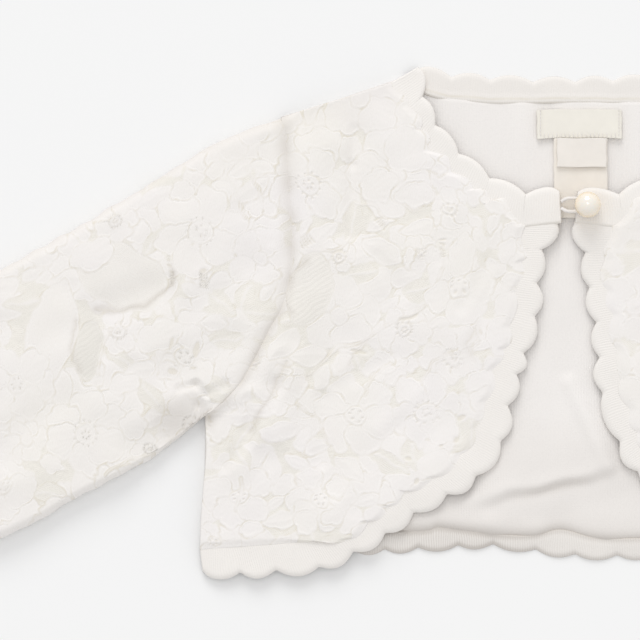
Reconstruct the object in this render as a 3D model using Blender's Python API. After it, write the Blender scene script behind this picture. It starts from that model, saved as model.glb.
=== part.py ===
"""A baby's cropped lace cardigan, laid out flat on its back.

Metres, +Z up. +X points to the wearer's left and +Y to the neck. The floor is
Z = 0 and the origin lies under the middle of the whole garment. The back lies
on the floor, the two fronts lie on the back, and each sleeve is a flattened
tube. Every piece of cloth is a closed wall with air between the layers.

Tables are in millimetres and are turned into metres where they are read.
Column "out" is the distance from the middle line, "up" the distance towards
the neck from the garment's middle.
"""

import math
from collections import namedtuple

import bmesh
import bpy
from mathutils import Vector

MM = 0.001

# Cloth
KNIT = 1.0 * MM
LACE = 1.0 * MM
BACK_KNIT = 1.2 * MM
TRIM = 1.6 * MM
LABEL = 0.9 * MM
GAP = 0.3 * MM
USUAL_AIR = 1.4 * MM
ARMHOLE_AIR = 3.2 * MM
MOST_AIR = 3.5 * MM

# How far from a seam the fronts take to roll down or rise
SIDE_ROLL = 20.0 * MM
SHOULDER_ROLL = 16.0 * MM
ARMHOLE_ROLL = 26.0 * MM
UNDERARM_UP = -36.0 * MM
ARMHOLE_RISE_LENGTH = 14.0 * MM

# Sleeve tube
SLEEVE_EDGE_RADIUS = 3.4 * MM
SLEEVE_HEIGHT = 8.5 * MM
ARMHOLE_HEIGHT = 7.0 * MM
SLEEVE_RISE = 0.25
LEAST_DIP = 1.2 * MM
SLEEVE_ROWS = 14
SLEEVE_TOP_POINTS = 11
CUFF_TOP_POINTS = 25
CUFF_DEPTH = 6.6 * MM
CUFF_INSET = 0.7 * MM
CUFF_SCALLOPS_PER_LAYER = 6

# Scalloped edging
SCALLOP_STEPS = 5
SCALLOP_ROUNDNESS = 0.7
EDGE_SCALLOP = 3.2 * MM
NECK_SCALLOP = 2.8 * MM
HEM_SCALLOP = 2.4 * MM

# Grids of the panels
FRONT_COLUMNS = 13
NECK_ROWS = 5
SIDE_ROWS = 6
SHOULDER_COLUMNS = 4
BACK_NECK_COLUMNS = 12
CURVE_STEPS = 24

# Button, loop and labels
PEARL_RADIUS = 4.7 * MM
LOOP_RADIUS = 0.5 * MM
LOOP_TURN_RADIUS = 3.7 * MM
LOOP_TURN_POINTS = 14

Fold = namedtuple("Fold", "out_a up_a out_b up_b reach height")
Label = namedtuple("Label", "left right low high")


def metres(rows):
    """The rows of a table of millimetres as vectors in metres."""
    return [Vector(row) * MM for row in rows]


def folds(rows):
    """The rows of a fold table in metres."""
    return [Fold(*[value * MM for value in row]) for row in rows]


# Armhole seam from the shoulder to the underarm: out, up
ARMHOLE = metres([
    (104.0, 74.2),
    (101.5, 44.6),
    (101.2, 26.6),
    (103.7, 8.6),
    (109.4, -2.2),
    (115.9, -14.8),
    (121.8, -23.6),
    (131.8, -32.8),
])

# Side seam from the underarm to the front's hem: out, up
SIDE = metres([
    (131.8, -32.8),
    (131.4, -45.4),
    (132.3, -58.0),
    (133.2, -70.0),
    (133.6, -81.0),
])

# Upper edge of the sleeve from the shoulder to the cuff: out, up
SLEEVE_UPPER = metres([
    (104.0, 74.2),
    (119.5, 68.8),
    (133.9, 62.0),
    (148.3, 52.6),
    (177.1, 35.4),
    (205.9, 19.2),
    (241.9, -1.4),
    (275.0, -21.2),
])

# Lower edge of the sleeve from the underarm to the cuff: out, up
SLEEVE_LOWER = metres([
    (131.8, -32.8),
    (148.3, -46.4),
    (162.7, -54.6),
    (177.1, -62.0),
    (191.5, -70.6),
    (205.9, -77.2),
    (221.0, -82.2),
    (237.6, -85.8),
])

# Shoulder seam on the back, from the armhole to the neck: out, up
SHOULDER = metres([
    (104.0, 74.2),
    (90.0, 78.6),
    (75.0, 84.0),
    (60.1, 89.0),
])

# Back neck seam from the shoulder to the middle: out, up
BACK_NECK = metres([
    (56.2, 84.6),
    (47.5, 81.6),
    (36.0, 80.4),
    (25.9, 79.9),
    (12.0, 80.1),
    (0.0, 80.3),
])

# Front neck seam from the shoulder to the button, both sides: out, up
FRONT_NECK = metres([
    (64.8, 86.4),
    (63.0, 76.3),
    (58.7, 65.2),
    (49.0, 52.9),
    (36.0, 42.5),
    (21.6, 36.6),
])

# Front edge seam of the right front, from the button to the hem: out, up
RIGHT_EDGE = metres([
    (16.9, 35.3),
    (22.4, 27.0),
    (25.0, 14.8),
    (26.8, 3.6),
    (30.2, -6.8),
    (33.1, -15.8),
    (36.7, -26.6),
    (39.9, -37.0),
    (45.4, -44.6),
    (53.2, -50.4),
    (63.4, -56.8),
    (73.4, -64.4),
    (83.0, -72.2),
    (91.4, -78.1),
])

# Front edge seam of the left front, which lies nearer to the middle: out, up
LEFT_EDGE = metres([
    (14.4, 35.3),
    (16.6, 24.8),
    (18.0, 12.2),
    (20.3, 0.7),
    (21.9, -11.9),
    (24.0, -24.0),
    (28.6, -36.4),
    (34.6, -45.4),
    (43.0, -52.8),
    (52.4, -59.4),
    (63.4, -66.2),
    (74.9, -72.2),
    (84.4, -75.8),
    (92.9, -78.6),
])

# Where scallops meet on the right front's free edge, button to side: out, up
RIGHT_CUSPS = metres([
    (6.0, 36.1),
    (11.9, 27.0),
    (13.7, 14.8),
    (14.4, 2.9),
    (18.4, -10.1),
    (20.9, -18.0),
    (24.1, -29.2),
    (26.6, -41.8),
    (35.3, -54.0),
    (45.7, -60.5),
    (57.6, -67.0),
    (67.8, -74.4),
    (79.2, -81.0),
    (91.4, -86.4),
    (106.6, -87.5),
    (119.5, -88.4),
    (132.6, -88.2),
])

# Where scallops meet on the left front's free edge, button to side: out, up
LEFT_CUSPS = metres([
    (1.6, 36.1),
    (5.8, 25.9),
    (7.2, 13.3),
    (9.7, 0.7),
    (10.8, -11.9),
    (11.9, -24.5),
    (18.0, -41.8),
    (24.5, -52.6),
    (34.6, -61.2),
    (46.1, -68.4),
    (58.7, -75.2),
    (71.3, -81.2),
    (83.9, -85.3),
    (96.5, -87.1),
    (109.1, -87.7),
    (121.0, -88.4),
    (132.6, -88.2),
])

# Where scallops meet on the front neck, shoulder to button: out, up
NECK_CUSPS = metres([
    (56.2, 91.9),
    (54.7, 81.4),
    (50.0, 70.9),
    (41.4, 60.5),
    (30.2, 51.5),
    (16.9, 45.7),
])
RIGHT_TIP = Vector((4.8, 46.9)) * MM
RIGHT_TIP_FOOT = Vector((4.2, 37.0)) * MM
LEFT_TIP = Vector((2.2, 46.6)) * MM
LEFT_TIP_FOOT = Vector((1.4, 37.0)) * MM

# Where scallops meet on the back neck, wearer's right to left: across, up
BACK_NECK_CUSPS = metres([
    (-55.6, 90.6),
    (-43.6, 87.8),
    (-29.5, 86.8),
    (-14.0, 86.0),
    (1.1, 86.0),
    (14.8, 86.4),
    (29.5, 86.8),
    (43.6, 87.8),
    (55.6, 90.6),
])

# Back hem seam, wearer's right to left: across, up
BACK_HEM = metres([
    (-132.9, -75.0),
    (-95.0, -76.0),
    (-54.7, -74.9),
    (-47.5, -73.6),
    (-26.0, -76.4),
    (-14.0, -76.6),
    (-4.0, -74.6),
    (8.0, -77.4),
    (24.5, -77.8),
    (60.0, -76.4),
    (95.0, -76.0),
    (132.9, -75.0),
])

# Where scallops meet on the back hem, wearer's right to left: across, up
BACK_HEM_CUSPS = metres([
    (-132.4, -80.0),
    (-119.5, -80.2),
    (-105.1, -80.6),
    (-91.4, -80.6),
    (-78.8, -80.6),
    (-67.4, -80.2),
    (-55.4, -79.6),
    (-41.0, -78.8),
    (-28.4, -78.4),
    (-13.0, -80.3),
    (1.1, -82.0),
    (16.2, -82.4),
    (30.0, -82.0),
    (44.3, -80.9),
    (58.7, -80.4),
    (73.0, -80.6),
    (88.0, -80.6),
    (103.0, -80.6),
    (118.0, -80.2),
    (132.4, -80.0),
])

# Creases of the back in the open front:
# across and up of one end, across and up of the other, reach, height
BACK_FOLDS = folds([
    (-22.0, -66.0, 20.0, -53.0, 9.0, 2.2),
    (-2.0, -24.0, 8.0, -50.0, 8.0, 1.2),
])

# Folds of the fronts: out and up of one end, of the other, reach, height
FRONT_FOLDS = folds([
    (52.0, -58.0, 80.0, -68.0, 26.0, 2.2),
    (5.0, 41.0, 24.0, 41.0, 15.0, 0.5),
    (78.0, 70.0, 80.0, 34.0, 12.0, -1.0),
    (116.0, -30.0, 122.0, -50.0, 11.0, 1.7),
    (103.0, -14.0, 108.0, -40.0, 10.0, 1.3),
    (90.0, -28.0, 90.0, -56.0, 12.0, -0.9),
    (60.0, 30.0, 48.0, 0.0, 18.0, 0.8),
])

# Folds of the sleeve's upper layer, in the same columns
SLEEVE_FOLDS = folds([
    (124.0, -6.0, 146.0, -18.0, 11.0, -1.5),
    (118.0, 20.0, 134.0, 4.0, 12.0, -1.1),
    (150.0, 12.0, 168.0, 6.0, 11.0, -1.1),
    (186.0, -30.0, 206.0, -46.0, 13.0, -1.2),
    (206.0, -2.0, 226.0, -24.0, 12.0, -1.2),
    (246.0, -34.0, 262.0, -44.0, 10.0, -1.3),
])

# Labels inside the back neck: left, right, low and high edge
MAKER_LABEL = Label(-12.6 * MM, 18.0 * MM, 66.9 * MM, 77.2 * MM)
SIZE_TAB = Label(-5.4 * MM, 12.4 * MM, 56.4 * MM, 66.5 * MM)
CARE_LABEL = Label(-6.6 * MM, 12.8 * MM, 38.0 * MM, 66.5 * MM)

PEARL_PLACE = Vector((5.4, 42.8)) * MM

FRONT_BASE = BACK_KNIT + GAP


# Small helpers

def clear_scene():
    """Remove every object that the scene starts with."""
    for thing in list(bpy.data.objects):
        bpy.data.objects.remove(thing, do_unlink=True)


def ease(value):
    """Smooth step from 0 to 1."""
    value = max(0.0, min(1.0, value))
    return value * value * (3.0 - 2.0 * value)


def fabric(name, colour, roughness):
    """A Principled material of one plain colour."""
    material = bpy.data.materials.new(name)
    material.use_nodes = True
    shader = material.node_tree.nodes["Principled BSDF"]
    shader.inputs["Base Color"].default_value = (*colour, 1.0)
    shader.inputs["Roughness"].default_value = roughness
    material.diffuse_color = (*colour, 1.0)
    return material


def add_mesh(name, points, faces, material):
    """A mesh object with its faces turned outwards."""
    mesh = bpy.data.meshes.new(name)
    mesh.from_pydata([tuple(point) for point in points], [], faces)
    shape = bmesh.new()
    shape.from_mesh(mesh)
    bmesh.ops.recalc_face_normals(shape, faces=shape.faces)
    shape.to_mesh(mesh)
    shape.free()
    mesh.shade_smooth()
    mesh.set_sharp_from_angle(angle=math.radians(40.0))
    mesh.materials.append(material)
    thing = bpy.data.objects.new(name, mesh)
    bpy.context.scene.collection.objects.link(thing)
    return thing


# Paths in plan

def along(path):
    """Distance of each point of a path from its start."""
    reach = [0.0]
    for first, second in zip(path, path[1:]):
        reach.append(reach[-1] + (second - first).length)
    return reach


def point_at(path, reach, distance):
    """The point of a path at a distance from its start."""
    distance = max(0.0, min(reach[-1], distance))
    for index in range(len(path) - 1):
        if distance <= reach[index + 1]:
            span = reach[index + 1] - reach[index]
            share = (distance - reach[index]) / span if span > 0.0 else 0.0
            return path[index].lerp(path[index + 1], share)
    return path[-1].copy()


def curve_through(points):
    """A dense smooth path through all the given points."""
    path = []
    last = len(points) - 1
    for index in range(last):
        before = points[max(index - 1, 0)]
        start = points[index]
        end = points[index + 1]
        after = points[min(index + 2, last)]
        for step in range(CURVE_STEPS):
            t = step / CURVE_STEPS
            path.append(0.5 * (
                2.0 * start
                + (end - before) * t
                + (2.0 * before - 5.0 * start + 4.0 * end - after) * t * t
                + (3.0 * start - before - 3.0 * end + after) * t * t * t
            ))
    path.append(points[-1].copy())
    return path


def spaced(points, count):
    """Evenly spaced points on the smooth path through the given ones."""
    path = curve_through(points)
    reach = along(path)
    return [point_at(path, reach, reach[-1] * step / count) for step in range(count + 1)]


def shifted(path, amount):
    """The path moved sideways, to its right where the amount is above zero."""
    moved = []
    last = len(path) - 1
    for index, point in enumerate(path):
        ahead = path[min(index + 1, last)] - path[max(index - 1, 0)]
        side = Vector((ahead.y, -ahead.x)).normalized()
        moved.append(point + side * amount)
    return moved


def mirrored(path, side):
    """A table of out and up as points across the garment, on one side."""
    return [Vector((point.x * side, point.y)) for point in path]


# Heights above the floor

def fold_height(fold_table, across, up):
    """Sum of the soft ridges and troughs at a place."""
    total = 0.0
    place = Vector((across, up))
    for fold in fold_table:
        start = Vector((fold.out_a, fold.up_a))
        line = Vector((fold.out_b, fold.up_b)) - start
        share = max(0.0, min(1.0, (place - start).dot(line) / line.length_squared))
        away = (place - start - line * share).length
        total += fold.height * ease(1.0 - away / fold.reach)
    return total


def seam_out(up):
    """How far out the armhole or side seam is at this height."""
    rows = ARMHOLE + SIDE[1:]
    if up >= rows[0].y:
        return rows[0].x
    for upper, lower in zip(rows, rows[1:]):
        if up >= lower.y:
            share = (upper.y - up) / (upper.y - lower.y)
            return upper.x + (lower.x - upper.x) * share
    return rows[-1].x


def shoulder_up(out):
    """How far up the shoulder seam is at this distance out."""
    high = SHOULDER[-1]
    low = SHOULDER[0]
    share = (out - high.x) / (low.x - high.x)
    return high.y + (low.y - high.y) * share


def back_under(across, up):
    """Height of the back's underside."""
    return max(0.0, fold_height(BACK_FOLDS, across, up))


def front_under(across, up):
    """Height of a front's underside over the back that it lies on.

    It rises to the sleeve along the armhole and comes down to the back along
    the shoulder and the side seam.
    """
    out = abs(across)
    inside = seam_out(up) - out
    beside_sleeve = ease((up - UNDERARM_UP) / ARMHOLE_RISE_LENGTH)
    side_ease = ease(inside / SIDE_ROLL)
    side_ease += (1.0 - side_ease) * beside_sleeve
    shoulder_ease = ease((shoulder_up(out) - up) / SHOULDER_ROLL)
    air = USUAL_AIR + fold_height(FRONT_FOLDS, out, up)
    air += (ARMHOLE_AIR - USUAL_AIR) * ease(1.0 - inside / ARMHOLE_ROLL) * beside_sleeve
    air = max(0.0, min(MOST_AIR, air * side_ease * shoulder_ease))
    return FRONT_BASE + air


# Walls of cloth

def wall(name, rows, under, thickness, material):
    """A closed wall of cloth over a grid of places in plan."""
    width = len(rows[0])
    height = len(rows)
    low = [Vector((p.x, p.y, under(p.x, p.y))) for row in rows for p in row]
    high = [point + Vector((0.0, 0.0, thickness)) for point in low]
    raised = len(low)
    faces = []
    for j in range(height - 1):
        for i in range(width - 1):
            a = j * width + i
            b = a + 1
            c = a + width
            d = c + 1
            faces += [(a, b, d), (a, d, c)]
            faces += [(a + raised, d + raised, b + raised), (a + raised, c + raised, d + raised)]
    rim = list(range(width))
    rim += [j * width + width - 1 for j in range(1, height)]
    rim += [(height - 1) * width + i for i in range(width - 2, -1, -1)]
    rim += [j * width for j in range(height - 2, 0, -1)]
    for index, first in enumerate(rim):
        second = rim[(index + 1) % len(rim)]
        faces += [(first, first + raised, second + raised), (first, second + raised, second)]
    return add_mesh(name, low + high, faces, material)


def patch(top, bottom, left, right):
    """A grid of places that fills four edges, in rows from top to bottom."""
    columns = len(top) - 1
    lines = len(left) - 1
    rows = []
    for j in range(lines + 1):
        t = j / lines
        row = []
        for i in range(columns + 1):
            s = i / columns
            edges = top[i] * (1 - t) + bottom[i] * t + left[j] * (1 - s) + right[j] * s
            corners = (top[0] * (1 - s) + top[-1] * s) * (1 - t)
            corners = corners + (bottom[0] * (1 - s) + bottom[-1] * s) * t
            row.append(edges - corners)
        rows.append(row)
    return rows


def scalloped(cusps, depth, side):
    """The scalloped edge through its cusps, bulging to one side of the path."""
    guide = curve_through(cusps)
    edge = []
    for index in range(len(cusps) - 1):
        chord = cusps[index + 1] - cusps[index]
        outward = Vector((chord.y, -chord.x)).normalized() * side
        for step in range(SCALLOP_STEPS):
            share = step / SCALLOP_STEPS
            place = guide[index * CURVE_STEPS + round(share * CURVE_STEPS)]
            bulge = math.sin(math.pi * share) ** SCALLOP_ROUNDNESS
            edge.append(place + outward * depth * bulge)
    edge.append(cusps[-1].copy())
    return edge


def edging(name, seam, cusps, depth, side, under, thickness, material):
    """A band of edging from a seam out to its scalloped edge."""
    outer = scalloped(cusps, depth, side)
    inner_path = shifted(seam, 1.2 * GAP * side)
    inner_reach = along(inner_path)
    guide_reach = along(cusps)
    inner = []
    for index in range(len(outer)):
        scallop = min(index // SCALLOP_STEPS, len(cusps) - 2)
        share = index / SCALLOP_STEPS - scallop
        reach = guide_reach[scallop]
        reach += (guide_reach[scallop + 1] - guide_reach[scallop]) * share
        inner.append(point_at(inner_path, inner_reach, inner_reach[-1] * reach / guide_reach[-1]))
    return wall(name, [inner, outer], under, thickness, material)


# The body's panels

def armhole_places():
    """Places along the armhole where panels and sleeve have their points."""
    path = curve_through(ARMHOLE)
    reach = along(path)
    first = SLEEVE_EDGE_RADIUS
    span = reach[-1] - 2.0 * first
    steps = SLEEVE_TOP_POINTS - 1
    distances = [0.0] + [first + span * step / steps for step in range(steps + 1)] + [reach[-1]]
    return [point_at(path, reach, distance) for distance in distances]


def side_path(side):
    """Armhole and side seam of a body panel, just inside the sleeve."""
    places = armhole_places() + spaced(SIDE, SIDE_ROWS)[1:]
    armhole_count = SLEEVE_TOP_POINTS + 2
    inside = shifted(places, 1.2 * GAP)
    path = [inside[i] if i < armhole_count else places[i] for i in range(len(places))]
    return mirrored(path, side)


def front_grid(side, edge_table):
    """Plan of one front, rows from the shoulder to the hem."""
    left = side_path(side)
    edge_rows = len(left) - 1 - NECK_ROWS
    neck = spaced(FRONT_NECK + [edge_table[0]], NECK_ROWS)
    edge = spaced(edge_table, edge_rows)
    right = mirrored(neck + edge[1:], side)
    top = [left[0].lerp(right[0], i / FRONT_COLUMNS) for i in range(FRONT_COLUMNS + 1)]
    bottom = [left[-1].lerp(right[-1], i / FRONT_COLUMNS) for i in range(FRONT_COLUMNS + 1)]
    return patch(top, bottom, left, right)


def lace_under(across, up):
    """Height of the lace's underside on a front."""
    return front_under(across, up) + KNIT + GAP


def make_front(word, side, edge_table, cusps, tip, foot, knit, lace, rib):
    """One front: its knit, its lace and its two bands of edging."""
    grid = front_grid(side, edge_table)
    wall("front_" + word, grid, front_under, KNIT, knit)
    wall("lace_front_" + word, grid, lace_under, LACE, lace)
    free_edge = [row[-1] for row in grid[NECK_ROWS:]]
    hem = list(reversed(grid[-1]))
    seam = free_edge + hem[1:]
    free_cusps = mirrored(cusps, side)
    edging("edge_trim_" + word, seam, free_cusps, EDGE_SCALLOP, side, front_under, TRIM, rib)
    neck_seam = [row[-1] for row in grid[:NECK_ROWS + 1]]
    neck_seam.append(Vector((foot.x * side, foot.y)))
    neck_cusps = mirrored(NECK_CUSPS + [tip], side)
    edging("neck_trim_" + word, neck_seam, neck_cusps, NECK_SCALLOP, side,
           front_under, TRIM, rib)


def back_edges():
    """The four edges of the back: top, bottom, wearer's right and left."""
    shoulder = spaced(SHOULDER, SHOULDER_COLUMNS)
    neck_half = BACK_NECK_COLUMNS // 2
    neck = spaced(BACK_NECK, neck_half)
    half = shoulder + neck
    top = mirrored(half, -1) + mirrored(list(reversed(half[:-1])), 1)
    bottom = spaced(BACK_HEM, len(top) - 1)
    armhole_count = SLEEVE_TOP_POINTS + 2
    side = side_path(1)[:armhole_count]
    side += spaced([SIDE[0], SIDE[2], Vector((bottom[-1].x, bottom[-1].y))], SIDE_ROWS)[1:]
    right = mirrored(side, -1)
    return top, bottom, right, side


def make_back(knit, rib):
    """The back with the edging of its neck and its hem."""
    top, bottom, right, left = back_edges()
    top[0] = right[0].copy()
    top[-1] = left[0].copy()
    wall("back", patch(top, bottom, right, left), back_under, BACK_KNIT, knit)
    neck_start = SHOULDER_COLUMNS + 1
    neck_seam = top[neck_start:len(top) - neck_start]
    edging("neck_trim_back", neck_seam, BACK_NECK_CUSPS, NECK_SCALLOP, -1,
           back_under, BACK_KNIT, rib)
    edging("hem_trim_back", bottom, BACK_HEM_CUSPS, HEM_SCALLOP, 1,
           back_under, BACK_KNIT, rib)


# Sleeves

def sleeve_place(upper, lower, armhole, armhole_reach, row_share, width_share):
    """A place of the sleeve in plan, from its row and its share of the width."""
    straight = upper.lerp(lower, width_share)
    seam = point_at(armhole, armhole_reach, armhole_reach[-1] * width_share)
    chord = ARMHOLE[0].lerp(ARMHOLE[-1], width_share)
    fade = max(0.0, 1.0 - row_share) ** 3
    return straight + (seam - chord) * fade


def sleeve_height(place, row_share, width_share):
    """Height of the sleeve's upper layer over the floor."""
    crown = (1.0 - (2.0 * width_share - 1.0) ** 2) ** 0.5
    edge = 2.0 * SLEEVE_EDGE_RADIUS
    top = ARMHOLE_HEIGHT + (SLEEVE_HEIGHT - ARMHOLE_HEIGHT) * ease(row_share / SLEEVE_RISE)
    height = edge + (top - edge) * crown
    height += fold_height(SLEEVE_FOLDS, place.x, place.y) * crown
    return max(edge - LEAST_DIP * crown, height)


def ring_outline(width, top_points, height_at):
    """Outline of a sleeve across its row: distance in and height."""
    radius = SLEEVE_EDGE_RADIUS
    span = width - 2.0 * radius
    slant = radius * math.sqrt(0.5)
    outline = [Vector((0.0, radius)), Vector((radius - slant, radius + slant))]
    for step in range(top_points):
        across = radius + span * step / (top_points - 1)
        outline.append(Vector((across, height_at(across / width))))
    outline += [Vector((width - radius + slant, radius + slant)), Vector((width, radius))]
    outline.append(Vector((width - radius + slant, radius - slant)))
    for step in range(top_points):
        across = width - radius - span * step / (top_points - 1)
        outline.append(Vector((across, 0.0)))
    outline.append(Vector((radius - slant, radius - slant)))
    return outline


def inset(outline, amount):
    """A closed outline moved inwards by an even amount."""
    moved = []
    count = len(outline)
    for index, point in enumerate(outline):
        into = (point - outline[index - 1]).normalized()
        away = (outline[(index + 1) % count] - point).normalized()
        first = Vector((into.y, -into.x))
        second = Vector((away.y, -away.x))
        middle = (first + second).normalized()
        moved.append(point + middle * (amount / middle.dot(first)))
    return moved


def tube(name, outer_rows, inner_rows, material):
    """A closed tube wall between an outer and an inner set of rings."""
    count = len(outer_rows[0])
    rows = outer_rows + list(reversed(inner_rows))
    points = [point for row in rows for point in row]
    faces = []
    for j in range(len(rows)):
        next_row = (j + 1) % len(rows)
        for i in range(count):
            next_point = (i + 1) % count
            a = j * count + i
            b = j * count + next_point
            c = next_row * count + i
            d = next_row * count + next_point
            if j < len(outer_rows) - 1 or j == len(rows) - 1:
                faces += [(a, b, d), (a, d, c)]
            else:
                faces += [(a, b, c), (b, d, c)]
    return add_mesh(name, points, faces, material)


def sleeve_rings(side, upper, lower, depth):
    """Rings of the sleeve at a depth under its outer face."""
    armhole = curve_through(ARMHOLE)
    reach = along(armhole)
    rings = []
    for row in range(SLEEVE_ROWS + 1):
        share = row / SLEEVE_ROWS

        def place_at(width_share, row=row, share=share):
            return sleeve_place(upper[row], lower[row], armhole, reach, share, width_share)

        width = reach[-1] if row == 0 else (lower[row] - upper[row]).length
        outline = ring_outline(
            width, SLEEVE_TOP_POINTS,
            lambda width_share: sleeve_height(place_at(width_share), share, width_share))
        ring = []
        for across, height in inset(outline, depth):
            place = place_at(across / width)
            ring.append(Vector((place.x * side, place.y, height)))
        rings.append(ring)
    return rings


def make_cuff(name, side, upper, lower, rib):
    """The scalloped band round the end of a sleeve."""
    ahead = (upper - lower).normalized()
    ahead = Vector((-ahead.y, ahead.x))
    if ahead.x < 0.0:
        ahead = -ahead
    width = (lower - upper).length

    def end_height(width_share):
        return sleeve_height(upper.lerp(lower, width_share), 1.0, width_share)

    flat = ring_outline(width, CUFF_TOP_POINTS, end_height)
    outline = inset(flat, CUFF_INSET)
    hollow = inset(flat, CUFF_INSET + TRIM)

    def ring(points, distance, scallop):
        placed = []
        for across, height in points:
            share = across / width
            wave = abs(math.sin(math.pi * share * CUFF_SCALLOPS_PER_LAYER)) ** SCALLOP_ROUNDNESS
            place = upper.lerp(lower, share) + ahead * (distance + scallop * wave)
            placed.append(Vector((place.x * side, place.y, height)))
        return placed

    outer = [ring(outline, GAP, 0.0), ring(outline, CUFF_DEPTH, HEM_SCALLOP)]
    inner = [ring(hollow, GAP, 0.0), ring(hollow, CUFF_DEPTH, HEM_SCALLOP)]
    tube(name, outer, inner, rib)


def make_sleeve(word, side, knit, lace, rib):
    """One sleeve: lace outside, knit inside, and the cuff's edging."""
    upper = spaced(SLEEVE_UPPER, SLEEVE_ROWS)
    lower = spaced(SLEEVE_LOWER, SLEEVE_ROWS)
    depths = [0.0, LACE, LACE + GAP, LACE + GAP + KNIT]
    rings = [sleeve_rings(side, upper, lower, depth) for depth in depths]
    tube("lace_sleeve_" + word, rings[0], rings[1], lace)
    tube("sleeve_" + word, rings[2], rings[3], knit)
    make_cuff("cuff_trim_" + word, side, upper[-1], lower[-1], rib)


# Labels, button and loop

def make_label(name, label, base, material):
    """A flat label that lies on what is under it."""
    columns = 4
    lines = 3
    rows = []
    for j in range(lines + 1):
        up = label.high + (label.low - label.high) * j / lines
        row = [Vector((label.left + (label.right - label.left) * i / columns, up))
               for i in range(columns + 1)]
        rows.append(row)
    wall(name, rows, lambda across, up: base, LABEL, material)


def make_pearl(material):
    """The round bead of the button, on the left neck band."""
    seat = front_under(PEARL_PLACE.x, PEARL_PLACE.y) + TRIM + GAP
    bpy.ops.mesh.primitive_uv_sphere_add(
        segments=18, ring_count=12, radius=PEARL_RADIUS,
        location=(PEARL_PLACE.x, PEARL_PLACE.y, seat + PEARL_RADIUS))
    pearl = bpy.context.object
    pearl.name = "pearl_button"
    pearl.data.name = "pearl_button"
    pearl.data.shade_smooth()
    pearl.data.materials.append(material)


def make_loop(material):
    """The thread loop from the right neck band round the pearl's foot."""
    height = front_under(PEARL_PLACE.x, PEARL_PLACE.y) + TRIM + GAP + LOOP_RADIUS
    root_x = -RIGHT_TIP.x + 0.9 * MM
    root_z = front_under(RIGHT_TIP.x, PEARL_PLACE.y) + 0.6 * TRIM
    root_half = 1.2 * MM
    route = [Vector((root_x, PEARL_PLACE.y + root_half, root_z))]
    route.append(Vector((root_x + 2.2 * MM, PEARL_PLACE.y + 1.9 * root_half, height - 0.4 * MM)))
    turn_start = math.radians(140.0)
    for step in range(LOOP_TURN_POINTS + 1):
        angle = turn_start - 2.0 * turn_start * step / LOOP_TURN_POINTS
        route.append(Vector((
            PEARL_PLACE.x + LOOP_TURN_RADIUS * math.cos(angle),
            PEARL_PLACE.y + LOOP_TURN_RADIUS * math.sin(angle),
            height)))
    route.append(Vector((root_x + 2.2 * MM, PEARL_PLACE.y - 1.9 * root_half, height - 0.4 * MM)))
    route.append(Vector((root_x, PEARL_PLACE.y - root_half, root_z)))
    curve = bpy.data.curves.new("button_loop", "CURVE")
    curve.dimensions = "3D"
    curve.bevel_depth = LOOP_RADIUS
    curve.bevel_resolution = 2
    curve.use_fill_caps = True
    spline = curve.splines.new("POLY")
    spline.points.add(len(route) - 1)
    for point, place in zip(spline.points, route):
        point.co = (*place, 1.0)
    curve.materials.append(material)
    loop = bpy.data.objects.new("button_loop", curve)
    bpy.context.scene.collection.objects.link(loop)


def make_cardigan():
    """All the pieces of the cardigan."""
    clear_scene()
    knit = fabric("cotton_knit", (0.86, 0.84, 0.79), 0.85)
    lace = fabric("cotton_lace", (0.88, 0.86, 0.81), 0.75)
    rib = fabric("rib_edging", (0.86, 0.84, 0.79), 0.85)
    satin = fabric("label_satin", (0.80, 0.76, 0.68), 0.55)
    tape = fabric("label_tape", (0.83, 0.79, 0.73), 0.6)
    bead = fabric("pearl", (0.82, 0.76, 0.66), 0.18)
    thread = fabric("loop_thread", (0.86, 0.84, 0.79), 0.7)
    make_back(knit, rib)
    make_front("right", -1, RIGHT_EDGE, RIGHT_CUSPS, RIGHT_TIP, RIGHT_TIP_FOOT, knit, lace, rib)
    make_front("left", 1, LEFT_EDGE, LEFT_CUSPS, LEFT_TIP, LEFT_TIP_FOOT, knit, lace, rib)
    make_sleeve("right", -1, knit, lace, rib)
    make_sleeve("left", 1, knit, lace, rib)
    on_back = BACK_KNIT + GAP
    make_label("neck_label", MAKER_LABEL, on_back, satin)
    make_label("care_label", CARE_LABEL, on_back, tape)
    make_label("size_tab", SIZE_TAB, on_back + LABEL + GAP, satin)
    make_pearl(bead)
    make_loop(thread)


make_cardigan()
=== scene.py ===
"""Looks of a baby's lace cardigan that lies flat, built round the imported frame.

Tables and cloth functions are in millimetres, and meshes are made in metres.
Column "out" is the distance from the garment's middle line on either side,
"across" is the place from the wearer's right (below zero) to the left, and
"up" is the place towards the neck. The lace is a sheet with low relief: big
flowers, leaves and twigs laid on a net, each with a corded edge.
"""

import math
from collections import namedtuple

import bpy
import numpy as np
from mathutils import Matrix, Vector


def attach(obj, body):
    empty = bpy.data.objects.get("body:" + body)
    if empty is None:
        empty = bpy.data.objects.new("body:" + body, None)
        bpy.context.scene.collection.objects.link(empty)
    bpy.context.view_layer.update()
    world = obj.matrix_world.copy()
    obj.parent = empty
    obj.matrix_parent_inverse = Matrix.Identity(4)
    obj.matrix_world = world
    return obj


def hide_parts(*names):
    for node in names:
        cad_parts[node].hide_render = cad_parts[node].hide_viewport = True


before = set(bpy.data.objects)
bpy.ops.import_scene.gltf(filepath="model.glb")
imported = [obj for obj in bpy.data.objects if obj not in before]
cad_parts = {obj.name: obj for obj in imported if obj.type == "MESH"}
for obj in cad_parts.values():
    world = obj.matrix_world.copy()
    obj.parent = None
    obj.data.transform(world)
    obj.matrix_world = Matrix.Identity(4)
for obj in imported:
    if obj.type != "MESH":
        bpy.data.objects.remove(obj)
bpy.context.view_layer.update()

MM = 0.001

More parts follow.
